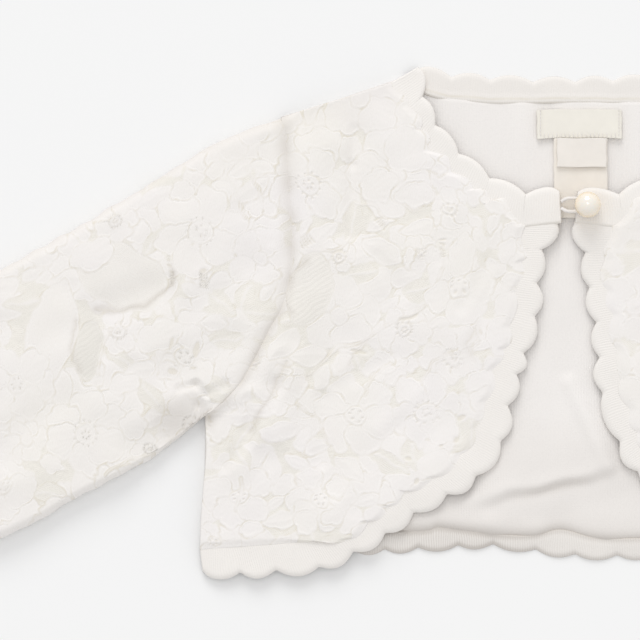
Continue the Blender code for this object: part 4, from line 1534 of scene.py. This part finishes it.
def back_shade(across, up, from_hem):
    """How much shade is painted on the back: a little in its low part, more in its fold and at its hem.
    """
    along = hump(across, DARKEST_ACROSS, DARK_HALF_LENGTH)
    fold = hump(above_drop(across, up), -0.8, 2.0) * along
    low = ease((LOW_BACK_UP - up) / LOW_BACK_FADE)
    hem = hump(from_hem, 0.0, 2.4) + 0.35 * ease(1.0 - from_hem / 12.0)
    return np.clip(LOW_BACK_SHADE * low + FOLD_SHADE * fold + HEM_SHADE * hem, 0.0, 1.0)


def hem_raise(across, from_hem):
    """Extra height of the back near its hem, where the fronts leave it open."""
    return HEM_RAISE * ease(1.0 - from_hem / HEM_RAISE_REACH) * open_share(across)


def make_back(material):
    """The plain back with the creases that show in the open front."""
    plan = back_plan(BACK_CELL)
    across = plan[..., 0]
    up = plan[..., 1]
    under = SUNKEN_BACK * back_under(across, up)
    height = under + BACK_KNIT + fold_height(BACK_CREASES, across, up)
    height = height + BACK_UNEVENNESS * soft_noise(across, 0.35 * up, 9.0, 31)
    from_hem = border_distances(plan)[1]
    height = height + drop_height(across, up) + hem_raise(across, from_hem)
    height = height - HEM_ROLL_DEPTH * rolled_down(from_hem / HEM_ROLL)
    height = np.maximum(height, under + THINNEST_BACK)
    values = plain_values(plan)
    values["shade"] = back_shade(across, up, from_hem)
    piece = slab("back_knit", raised(plan, height), raised(plan, under), material, values,
                 turned=True)
    return dress(piece, "back")


# Edging

def scalloped_grid(seam, cusps, depth, side, cell, columns, tuck):
    """Plan of a band from its seam to its scalloped edge, and the distance along it."""
    guide = smooth_path(cusps)
    cusps = np.asarray(cusps, float)
    chords = np.linalg.norm(np.diff(cusps, axis=0), axis=1)
    reach = np.concatenate([[0.0], np.cumsum(chords)])
    outer = []
    shares = []
    for index, chord in enumerate(chords):
        steps = steps_for(chord, cell)
        share = np.arange(steps + (index == len(chords) - 1)) / steps
        line = cusps[index + 1] - cusps[index]
        outward = np.array([line[1], -line[0]]) / chord * side
        spots = (index + share) * CURVE_STEPS
        place = np.stack([np.interp(spots, np.arange(len(guide)), guide[:, k]) for k in (0, 1)], -1)
        wave = np.sin(np.pi * np.clip(share, 0.0, 1.0)) ** 2
        bulge = (wave + CUSP_FILL) ** (0.5 * SCALLOP_ROUNDNESS)
        outer.append(place + outward * depth * bulge[:, None])
        shares.append((reach[index] + chord * share) / reach[-1])
    outer = np.vstack(outer)
    shares = np.concatenate(shares)
    inner = at_shares(shifted(seam, -tuck * side), shares)
    steps = np.linspace(0.0, 1.0, columns)[None, :, None]
    plan = inner[:, None] * (1 - steps) + outer[:, None] * steps
    return plan, shares * reach[-1]


def band_groove_shade(inward, grooved):
    """How much painted shade a band has at its seam and in the groove between its two ridges."""
    groove = hump(inward, 0.5 * (FIRST_RIDGE + SECOND_RIDGE), GROOVE_WIDTH) * grooved
    return np.maximum(GROOVE_SHADE * groove, SEAM_BAND_SHADE * ease(1.0 - inward / SEAM_BAND_SHADE_REACH))


def band_shade(across, inward, to_edge, wave, low, tone):
    """How much a band is painted with the shaded colour: evenly by its tone, and on the hem's low band
    as painted shade, most at its rims.
    """
    dark = HEM_BAND_SHADE * (1.0 + hump(across, HEM_BAND_DARKEST, HEM_BAND_DARK_HALF)) * low
    rims = 1.3 * hump(inward, 0.0, 1.4) + 1.1 * hump(to_edge, 0.0, 1.0)
    shade = dark * (0.5 + rims + HEM_RIB_SHADE * wave) + tone * (1.0 + 0.5 * wave)
    return np.clip(shade, 0.0, 1.0)


def faces_down(plan):
    """Whether the quads of a grid face down as they are numbered."""
    ahead = plan[1, 0] - plan[0, 0]
    outward = plan[0, -1] - plan[0, 0]
    return bool(outward[0] * ahead[1] - outward[1] * ahead[0] < 0.0)


def make_band(name, node, seam, cusps, depth, side, under, thickness, material,
              ridge=0.0, lap=0.0, tilt=0.0, lead=0.0, tone=0.0):
    """One scalloped band of ribbed edging, its inner edge a little over its seam."""
    plan, distance = scalloped_grid(seam, cusps, depth, side, RIB_CELL, BAND_COLUMNS, BAND_TUCK)
    if lead > 0.0:
        back_step = plan[0] - plan[2]
        plan[0] += lead * back_step / np.linalg.norm(back_step, axis=1)[:, None]
    across = plan[..., 0]
    up = plan[..., 1]
    width = np.linalg.norm(plan[:, -1] - plan[:, 0], axis=-1)[:, None]
    inward = np.linspace(0.0, 1.0, BAND_COLUMNS)[None, :] * width
    to_edge = width - inward
    uneven = RIB_WANDER * soft_noise(across, up, 6.0, 5)
    wave = np.sin(2.0 * np.pi * (distance[:, None] + uneven) / RIB_PITCH)
    shown = ease(inward / RIB_START) * ease(to_edge / RIB_END)
    height = under(across, up) + thickness + lap * ease(1.0 - inward / LAP_REACH)
    height = height + RIB_LIFT * wave * shown
    height = height + tilt * (1.0 - inward / width) * open_share(across)
    if lead > 0.0:
        height[0] -= LEAD_SINK
    height = height - EDGE_ROLL_DEPTH * thickness * rolled_down(to_edge / EDGE_ROLL)
    ridges = hump(inward, FIRST_RIDGE, RIDGE_WIDTH) + 0.7 * hump(inward, SECOND_RIDGE, RIDGE_WIDTH)
    height = height + ridge * ridges
    height = height + BAND_UNEVENNESS * soft_noise(across, up, 9.0, 8)
    values = {
        "crest": 0.5 + 0.5 * wave * shown,
        "groove_and_seam_shade": band_groove_shade(inward, ridge > 0.0),
        "shade": band_shade(across, inward, to_edge, wave, tilt > 0.0, tone),
    }
    grown = with_rim(raised(plan, height), 0.8 * thickness)
    piece = mesh_from_grid(name, grown, material, grown_values(values), turned=faces_down(plan))
    return dress(piece, node)


def make_front_bands(word, side, edge_table, cusps, tip, foot, material):
    """The edging of one front: its free edge with the hem, and its neck."""
    plan = on_side(front_plan(edge_table, 1.0), side)
    inner = plan[:, -1]
    corner = np.array([edge_table[0][0] * side, edge_table[0][1]])
    turn = int(np.argmin(np.linalg.norm(inner - corner, axis=1)))
    seam = np.vstack([inner[turn:], plan[-1, ::-1][1:]])
    cusps = on_side(np.array(cusps), side)
    edge = make_band("edge_band_" + word, "edge_trim_" + word, seam, cusps, EDGE_SCALLOP, side,
                     front_under, TRIM, material, lead=BAND_LEAD)
    neck_seam = np.vstack([inner[:turn + 1], on_side(np.array([foot]), side)])
    neck_cusps = on_side(np.array(NECK_CUSPS + [tip]), side)
    neck = make_band("neck_band_" + word, "neck_trim_" + word, neck_seam, neck_cusps,
                     NECK_SCALLOP, side, front_under, TRIM, material, lap=0.08)
    return edge, neck


def make_back_bands(material):
    """The edging of the back's neck and hem."""
    neck = np.vstack([on_side(smooth_path(BACK_NECK), -1), on_side(smooth_path(BACK_NECK)[::-1], 1)[1:]])
    neck_band = make_band("neck_band_back", "neck_trim_back", neck, BACK_NECK_CUSPS, NECK_SCALLOP,
                          -1, back_under, BACK_KNIT, material, ridge=0.32, lap=0.1,
                          tone=NECK_BAND_SHADE)
    hem_band = make_band("hem_band_back", "hem_trim_back", smooth_path(BACK_HEM), BACK_HEM_CUSPS,
                         HEM_SCALLOP, 1, back_under, BACK_KNIT, material, lap=-0.35, tilt=HEM_BAND_TILT)
    return neck_band, hem_band


# Sleeves

def across_sleeve(width, cell):
    """Distances in from a sleeve's upper edge, close together on the round edges."""
    turn = 0.5 * np.pi * np.arange(SLEEVE_EDGE_STEPS) / SLEEVE_EDGE_STEPS
    edge = SLEEVE_EDGE_RADIUS * (1.0 - np.cos(turn))
    count = steps_for(width.max() - 2.0 * SLEEVE_EDGE_RADIUS, cell)
    shares = np.linspace(0.0, 1.0, count + 1)[None]
    middle = SLEEVE_EDGE_RADIUS + shares * (width - 2.0 * SLEEVE_EDGE_RADIUS)
    low = np.broadcast_to(edge[None], (len(width), len(edge)))
    return np.concatenate([low, middle, (width - low)[:, ::-1]], axis=1)


def sleeve_layer(upper, lower, row_shares, cell, top):
    """The upper or lower layer of a sleeve: plan, height, and outward direction."""
    width = np.linalg.norm(lower - upper, axis=1)[:, None]
    inward = across_sleeve(width, cell)
    share = inward / width
    seam = smooth_path(ARMHOLE)
    chord = np.array(ARMHOLE[0]) + (np.array(ARMHOLE[-1]) - np.array(ARMHOLE[0])) * share[..., None]
    fade = np.clip(1.0 - row_shares, 0.0, 1.0)[:, None, None] ** 3
    plan = upper[:, None] + (lower - upper)[:, None] * share[..., None]
    plan = plan + (at_shares(seam, share) - chord) * fade
    to_edge = np.clip(np.minimum(inward, width - inward) / SLEEVE_EDGE_RADIUS, 0.0, 1.0)
    level = quarter_round(to_edge)
    outward = (1.0 - to_edge) * np.where(share < 0.5, -1.0, 1.0)
    if top:
        rise = sleeve_height(plan[..., 0], plan[..., 1], row_shares[:, None], share)
        height = SLEEVE_EDGE_RADIUS + (rise - SLEEVE_EDGE_RADIUS) * level
    else:
        height = SLEEVE_EDGE_RADIUS * (1.0 - level)
        level = -level
    return plan, height, outward, level, inward


def sleeve_rings(cell, under_cell, row_cell):
    """Both layers of a sleeve as rings, with the sleeve's own cloth coordinates."""
    upper_path = smooth_path(SLEEVE_UPPER)
    lower_path = smooth_path(SLEEVE_LOWER)
    row_shares = np.concatenate([
        SHOWN_SLEEVE * shares_of(SHOWN_SLEEVE * SLEEVE_LENGTH, row_cell)[:-1],
        SHOWN_SLEEVE + (1.0 - SHOWN_SLEEVE)
        * shares_of((1.0 - SHOWN_SLEEVE) * SLEEVE_LENGTH, 2.0 * row_cell)])
    upper = at_shares(upper_path, row_shares)
    lower = at_shares(lower_path, row_shares)
    over = (lower - upper) / np.linalg.norm(lower - upper, axis=1)[:, None]
    parts = []
    for top, size in ((True, cell), (False, under_cell)):
        plan, height, outward, level, inward = sleeve_layer(upper, lower, row_shares, size, top)
        cloth = plan if top else upper[:, None] - over[:, None] * inward[..., None]
        ring = [plan, height[..., None], outward[..., None], level[..., None], cloth]
        ring = np.concatenate(ring, axis=-1)
        parts.append(ring if top else ring[:, -2:0:-1])
    return np.concatenate(parts, axis=1), over, row_shares


def sleeve_places(rings, over, side, push):
    """Places of a sleeve's rings, pushed out along the cloth's outward direction."""
    plan = rings[..., :2] + over[:, None] * (rings[..., 3] * push)[..., None]
    return raised(on_side(plan, side), rings[..., 2] + rings[..., 4] * push)


def sleeve_push(rings, row_shares, side, seed):
    """How far a sleeve's face lies out from its plain rings, without the lace's relief."""
    topness = np.clip(rings[..., 4], 0.0, 1.0)
    crease_shift = 0.0 if side < 0 else HIDDEN_SLEEVE_SHIFT
    push = fold_height(SLEEVE_CREASES, rings[..., 0] + crease_shift, rings[..., 1] - crease_shift)
    push = (push + cloth_swell(rings[..., 5] * side, rings[..., 6], seed)) * topness
    length = (row_shares * SLEEVE_LENGTH)[:, None]
    push = push - 0.5 * ARMHOLE_DIP * ease(1.0 - (length[-1] - length) / ARMHOLE_DIP_REACH)
    push = push - (SEAM_SINK + push) * ease(1.0 - length / SEAM_FADE) * topness
    return push - ARMHOLE_UNDERLAP * ease(1.0 - length / UNDERLAP_REACH) * topness


def make_sleeve_lace(word, side, cell, under_cell, seed, material):
    """The lace tube of one sleeve."""
    rings, over, row_shares = sleeve_rings(cell, under_cell, cell)
    lace = lace_at(rings[..., 5] * side, rings[..., 6], side < 0, seed)
    length = (row_shares * SLEEVE_LENGTH)[:, None]
    topness = np.clip(rings[..., 4], 0.0, 1.0)
    relief = (lace["lift"] - RELIEF_MIDDLE) * (1.0 - ease(1.0 - length / SEAM_FADE) * topness)
    bottomness = 0.5 - 0.5 * rings[..., 4]
    push = sleeve_push(rings, row_shares, side, seed) + relief
    push = push - (MOST_RELIEF - RELIEF_MIDDLE) * bottomness
    uneven = EDGE_UNEVENNESS * soft_noise(rings[..., 5], rings[..., 6], 5.0, seed + 70)
    push = push + uneven * (1.0 - np.abs(rings[..., 4]))
    # Painted shade along the armhole seam and under the arm, and on the sleeve's upper edge where its
    # rounded face turns to the light.
    seam_shade = ease(1.0 - length / SEAM_SHADE_REACH) * topness
    seam_shade = seam_shade * seam_strength(rings[..., 0], rings[..., 1])
    underarm = np.hypot(rings[..., 0] - UNDERARM_FOLD[0], rings[..., 1] - UNDERARM_FOLD[1])
    underarm_shade = UNDERARM_SHADE * ease(1.0 - underarm / UNDERARM_FOLD_REACH)
    lace["shade"] = np.maximum(lace["shade"], np.maximum(seam_shade, underarm_shade))
    lace["shade"] += UPPER_EDGE_SHADE * np.clip(-rings[..., 3], 0.0, 1.0) * (rings[..., 4] >= 0.0)
    lapped = ease(1.0 - length / 5.0) * (rings[..., 4] > 0.0)
    rings[..., 0] -= SLEEVE_LAP * lapped
    places = sleeve_places(rings, over, side, push)
    inner = sleeve_places(rings, over, side, push - LACE)
    places = np.concatenate([inner[:1], places, inner[-1:]], axis=0)
    values = {key: np.pad(value, ((1, 1), (0, 0)), mode="edge")
              for key, value in lace_values(lace).items()}
    piece = mesh_from_grid("sleeve_lace_" + word, places, material, values, ring=True,
                           turned=side > 0)
    return dress(piece, "lace_sleeve_" + word)


def make_sleeve_knit(word, side, seed, material):
    """The knit tube inside one sleeve's lace, with its own thickness."""
    rings, over, row_shares = sleeve_rings(PLAIN_CELL, PLAIN_CELL, PLAIN_CELL)
    push = sleeve_push(rings, row_shares, side, seed) - LACE - GAP - LINING_DROP
    outer = sleeve_places(rings, over, side, push)
    inner = sleeve_places(rings, over, side, push - KNIT)
    places = np.concatenate([outer, inner[::-1]], axis=0)
    cloth = np.concatenate([rings[..., 5:7], rings[::-1, :, 5:7]], axis=0)
    piece = mesh_from_grid("sleeve_knit_" + word, places, material, plain_values(cloth),
                           ring=True, turned=side > 0, closed=True)
    return dress(piece, "sleeve_" + word)


def make_cuff(word, side, material):
    """The scalloped band round the end of one sleeve."""
    upper = np.array([SLEEVE_UPPER[-1]], float)
    lower = np.array([SLEEVE_LOWER[-1]], float)
    over = (lower - upper) / np.linalg.norm(lower - upper)
    ahead = np.array([over[0, 1], -over[0, 0]])
    ahead = ahead if ahead[0] > 0.0 else -ahead
    width = float(np.linalg.norm(lower - upper))
    parts = []
    for top in (True, False):
        plan, height, outward, level, inward = sleeve_layer(upper, lower, np.array([1.0]), RIB_CELL, top)
        ring = np.concatenate([plan, height[..., None], outward[..., None], level[..., None],
                               inward[..., None]], axis=-1)
        parts.append(ring if top else ring[:, -2:0:-1])
    ring = np.concatenate(parts, axis=1)
    wave = np.abs(np.sin(np.pi * ring[..., 5] / width * CUFF_SCALLOPS_PER_LAYER)) ** SCALLOP_ROUNDNESS
    shares = np.linspace(0.0, 1.0, CUFF_COLUMNS)
    around = np.cumsum(np.linalg.norm(np.diff(ring[0, :, :3], axis=0, append=ring[0, :1, :3]), axis=1))
    pitch = around[-1] / round(around[-1] / RIB_PITCH)
    ribs = np.sin(2.0 * np.pi * around / pitch)[None]
    rows = []
    crests = []
    for depth, order in ((CUFF_INSET, shares), (CUFF_INSET + TRIM, shares[::-1])):
        for share in order:
            reach = GAP + share * (CUFF_DEPTH - GAP + HEM_SCALLOP * wave)
            shown = ease(share / CUFF_HEM) * ease((1.0 - share) / 0.1)
            roll = 0.5 * TRIM * rolled_down((1.0 - share) / CUFF_ROLL)
            inset = depth + roll * (1.0 if depth == CUFF_INSET else -1.0)
            push = -inset + RIB_LIFT * ribs * shown * (depth == CUFF_INSET)
            row = sleeve_places(ring, over, side, push)
            row[..., :2] += on_side(ahead * reach[..., None], side)
            rows.append(row)
            crests.append(0.5 + 0.5 * ribs * shown)
    places = np.concatenate(rows, axis=0)
    crest = np.concatenate(crests, axis=0)
    piece = mesh_from_grid("cuff_band_" + word, places, material,
                           {"crest": crest, "groove_and_seam_shade": np.zeros_like(crest)}, ring=True,
                           turned=side > 0, closed=True)
    return dress(piece, "cuff_trim_" + word)


# Labels, button and loop

def make_label(name, node, label, base, fold_width, material):
    """A woven label with its ends folded under, a little uneven."""
    columns = np.linspace(label.left, label.right, LABEL_COLUMNS)
    lines = np.linspace(label.high, label.low, LABEL_LINES)
    plan = np.stack(np.meshgrid(columns, lines), -1)
    across = plan[..., 0]
    up = plan[..., 1]
    to_end = np.minimum(across - label.left, label.right - across)
    folded = LABEL_FOLD_LIFT * ease((fold_width - to_end) / 0.5)
    wave = LABEL_WAVE * soft_noise(across, up, 9.0, 21)
    droop = LABEL_DROOP * ease(1.0 - to_end / 4.0) * (fold_width > 0.0)
    plan = np.stack([across + 0.12 * soft_noise(up, up, 5.0, 22),
                     up + 0.16 * soft_noise(across, across, 9.0, 23) - droop], -1)
    height = base + LABEL + wave + folded - 0.25 * ease(1.0 - to_end / 0.5)
    piece = slab(name, raised(plan, height), raised(plan, np.full_like(height, base)), material,
                 plain_values(plan), turned=True)
    return dress(piece, node)


def tube_mesh(name, path, radius, material, sides=10, ply=0.0):
    """A thread along a path in millimetres, with two plies twisted where asked."""
    reach = path_reach(path)
    ahead = np.gradient(path, axis=0)
    ahead /= np.linalg.norm(ahead, axis=1)[:, None]
    side = np.cross(ahead, [0.0, 0.0, 1.0])
    side /= np.maximum(np.linalg.norm(side, axis=1), 1e-6)[:, None]
    rise = np.cross(side, ahead)
    turn = round_turn(sides)
    twist = reach[:, None] * 2.0 * np.pi / PLY_PITCH
    size = radius * (1.0 - ply + ply * np.abs(np.cos(turn[None] - 0.5 * twist)))
    places = path[:, None] + side[:, None] * (np.cos(turn) * size)[..., None]
    places = places + rise[:, None] * (np.sin(turn) * size)[..., None]
    places = np.concatenate([path[None, :1].repeat(sides, 1), places, path[None, -1:].repeat(sides, 1)])
    return mesh_from_grid(name, places, material, {}, ring=True, turned=True)


def stitch(points, radius, material):
    """One short thread through a few points."""
    return tube_mesh("stitch", smooth_path(points)[::6], radius, material, sides=6)


def make_stitches(label, base, material):
    """Small hand stitches that hold the maker's label at its two ends."""
    stitches = []
    for end in (label.left + 1.2, label.right - 1.2):
        for up in np.arange(label.low + 0.9, label.high - 0.5, END_STITCH_PITCH):
            points = [(end, up, base), (end, up + 0.2, base + STITCH_LIFT),
                      (end, up + 0.7, base + STITCH_LIFT), (end, up + 0.9, base)]
            stitches.append(stitch(points, END_STITCH_RADIUS, material))
    for across in np.arange(label.left + 2.6, label.right - 2.2, LOW_STITCH_PITCH):
        points = [(across, label.low + 0.2, base - 0.1), (across, label.low + 0.7, base + 0.16),
                  (across, label.low + 1.5, base + 0.16), (across, label.low + 1.8, base - 0.1)]
        stitches.append(stitch(points, LOW_STITCH_RADIUS, material))
    return joined("label_stitches", stitches)


def joined(name, things):
    """Several meshes as one object."""
    with bpy.context.temp_override(active_object=things[0], object=things[0],
                                   selected_objects=things, selected_editable_objects=things):
        bpy.ops.object.join()
    things[0].name = name
    things[0].data.name = name
    return things[0]


def pearl_seat():
    """Height of the pearl's foot over the floor."""
    return float(front_under(np.array([PEARL_ACROSS]), np.array([PEARL_UP]))[0]) + TRIM + GAP


def make_pearl(material):
    """The bead button: a round pearl, a little flat at its drilled foot."""
    polar = np.linspace(0.0, np.pi, PEARL_ROWS + 1)[:, None]
    turn = round_turn(2 * PEARL_ROWS)[None]
    size = PEARL_RADIUS * (1.0 - PEARL_FLATNESS * ease((polar - PEARL_FLAT_FROM) / 0.5))
    size = size * np.ones_like(turn)
    places = np.stack([np.sin(polar) * np.cos(turn) * size,
                       np.sin(polar) * np.sin(turn) * size,
                       np.cos(polar) * np.ones_like(turn) * size], -1)
    places = places + np.array([PEARL_ACROSS, PEARL_UP, pearl_seat() + PEARL_RADIUS])
    # Low on the ball, where it is seen as the rim from above, gold is painted in for the warm reflection
    # and shade there.
    low = (1.0 - np.clip(np.cos(polar), 0.0, 1.0)) ** 1.7 * np.ones_like(turn)
    piece = mesh_from_grid("pearl_bead", places, material, {"low": low}, ring=True, turned=True)
    return dress(piece, "pearl_button")


def make_loop(material):
    """The thread loop from the right band round the pearl's foot."""
    height = pearl_seat() + LOOP_LIFT
    root_across = -RIGHT_TIP[0] + LOOP_ROOT_INSET
    root_height = float(front_under(np.array([RIGHT_TIP[0]]), np.array([PEARL_UP]))[0]) + 0.6 * TRIM
    points = [(root_across, PEARL_UP + 1.2, root_height),
              (root_across + 2.2, PEARL_UP + 2.3, height - 0.4)]
    first_turn = math.radians(LOOP_HALF_TURN)
    for angle in np.linspace(first_turn, -first_turn, 15):
        points.append((PEARL_ACROSS + LOOP_TURN_RADIUS * math.cos(angle),
                       PEARL_UP + LOOP_TURN_RADIUS * math.sin(angle), height))
    points += [(root_across + 2.2, PEARL_UP - 2.3, height - 0.4),
               (root_across, PEARL_UP - 1.2, root_height)]
    piece = tube_mesh("thread_loop", smooth_path(points)[::4], LOOP_RADIUS, material, sides=14, ply=0.25)
    return dress(piece, "button_loop")


# Frame, stage and camera

def dress(piece, node):
    """The piece stands for a node of the frame: it hangs from the root body, and the node's own part is
    hidden.
    """
    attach(piece, "root")
    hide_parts(node)
    return piece


def make_floor():
    """The pale studio floor."""
    ends = np.array([-FLOOR_HALF, FLOOR_HALF])
    plan = np.stack(np.meshgrid(ends, -ends), -1)
    corners = raised(plan, np.full((2, 2), FLOOR_UP))
    floor = mesh_from_grid("studio_floor", corners, floor_material(), {}, turned=True)


def make_light(name, kind, energy, direction, distance=2.0, size=None, angle=None):
    """A light that shines from a direction towards the middle of the view."""
    data = bpy.data.lights.new(name, kind)
    data.energy = energy
    if size is not None:
        data.shape = "DISK"
        data.size = size
    if angle is not None:
        data.angle = math.radians(angle)
    light = bpy.data.objects.new(name, data)
    towards = Vector(direction).normalized()
    middle = Vector((VIEW_ACROSS * MM, VIEW_UP * MM, 0.0))
    light.location = middle + towards * distance
    light.rotation_mode = "QUATERNION"
    light.rotation_quaternion = towards.to_track_quat("Z", "Y")
    bpy.context.scene.collection.objects.link(light)


def make_lights():
    """Soft studio light: a broad key from beyond the neck and an even fill."""
    world = bpy.data.worlds.new("studio")
    world.use_nodes = True
    background = world.node_tree.nodes["Background"]
    background.inputs["Color"].default_value = (1.0, 1.0, 1.0, 1.0)
    background.inputs["Strength"].default_value = FILL_STRENGTH
    bpy.context.scene.world = world
    make_light("key", "SUN", KEY_STRENGTH, KEY_DIRECTION, angle=30.0)
    make_light("lamp", "AREA", LAMP_POWER, LAMP_DIRECTION, distance=1.0, size=0.30)


def make_camera():
    """Straight down, with a long lens, over the part that the photograph shows."""
    data = bpy.data.cameras.new("camera")
    data.sensor_width = 36.0
    data.lens = data.sensor_width * CAMERA_HEIGHT / VIEW_SIZE
    data.clip_start = 0.1
    data.clip_end = 20.0
    camera = bpy.data.objects.new("camera", data)
    camera.location = (VIEW_ACROSS * MM, VIEW_UP * MM, CAMERA_HEIGHT * MM)
    camera.rotation_euler = (0.0, 0.0, 0.0)
    bpy.context.scene.collection.objects.link(camera)
    bpy.context.scene.camera = camera
    bpy.context.scene.view_settings.view_transform = "Standard"
    bpy.context.scene.view_settings.look = "None"


def make_half(half, lace, knit, rib):
    """One front and one sleeve, with their lace and edging."""
    word, side, edge_table, cusps, tip, foot, cell, seed = half
    under = make_front_knit(word, side, edge_table, seed, knit)
    front = make_front_lace(word, side, edge_table, cell, seed, lace)
    edge, neck = make_front_bands(word, side, edge_table, cusps, tip, foot, rib)
    sleeve_seed = seed + 3
    lining = make_sleeve_knit(word, side, sleeve_seed, knit)
    sleeve = make_sleeve_lace(word, side, cell + SLEEVE_CELL_MORE, UNDER_CELL, sleeve_seed, lace)
    cuff = make_cuff(word, side, rib)


def make_labels(thread):
    """The labels inside the back neck, and the stitches of the maker's label."""
    maker = make_label("label_maker", "neck_label", MAKER_LABEL, ON_BACK, LABEL_FOLD,
                       woven_material("label_cream", WOVEN_CREAM, 0.5))
    care = make_label("label_care", "care_label", CARE_LABEL, ON_BACK, 0.0,
                      woven_material("label_tape", CARE_TAPE, 0.55))
    tab = make_label("label_size", "size_tab", SIZE_TAB, ON_BACK + LABEL + GAP, 0.0,
                     woven_material("label_white", WOVEN_WHITE, 0.5))
    stitches = make_stitches(MAKER_LABEL, ON_BACK + LABEL + STITCH_REST, thread)
    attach(stitches, "root")


def make_cardigan():
    """All the pieces, with their materials."""
    lace = lace_material()
    knit = knit_material()
    rib = rib_material()
    thread = thread_material()
    back = make_back(knit)
    neck_back, hem_back = make_back_bands(rib)
    for half in HALVES:
        make_half(half, lace, knit, rib)
    make_labels(thread)
    make_pearl(pearl_material())
    make_loop(thread)


def main():
    """Build the scene."""
    make_camera()
    make_lights()
    make_floor()
    make_cardigan()


main()
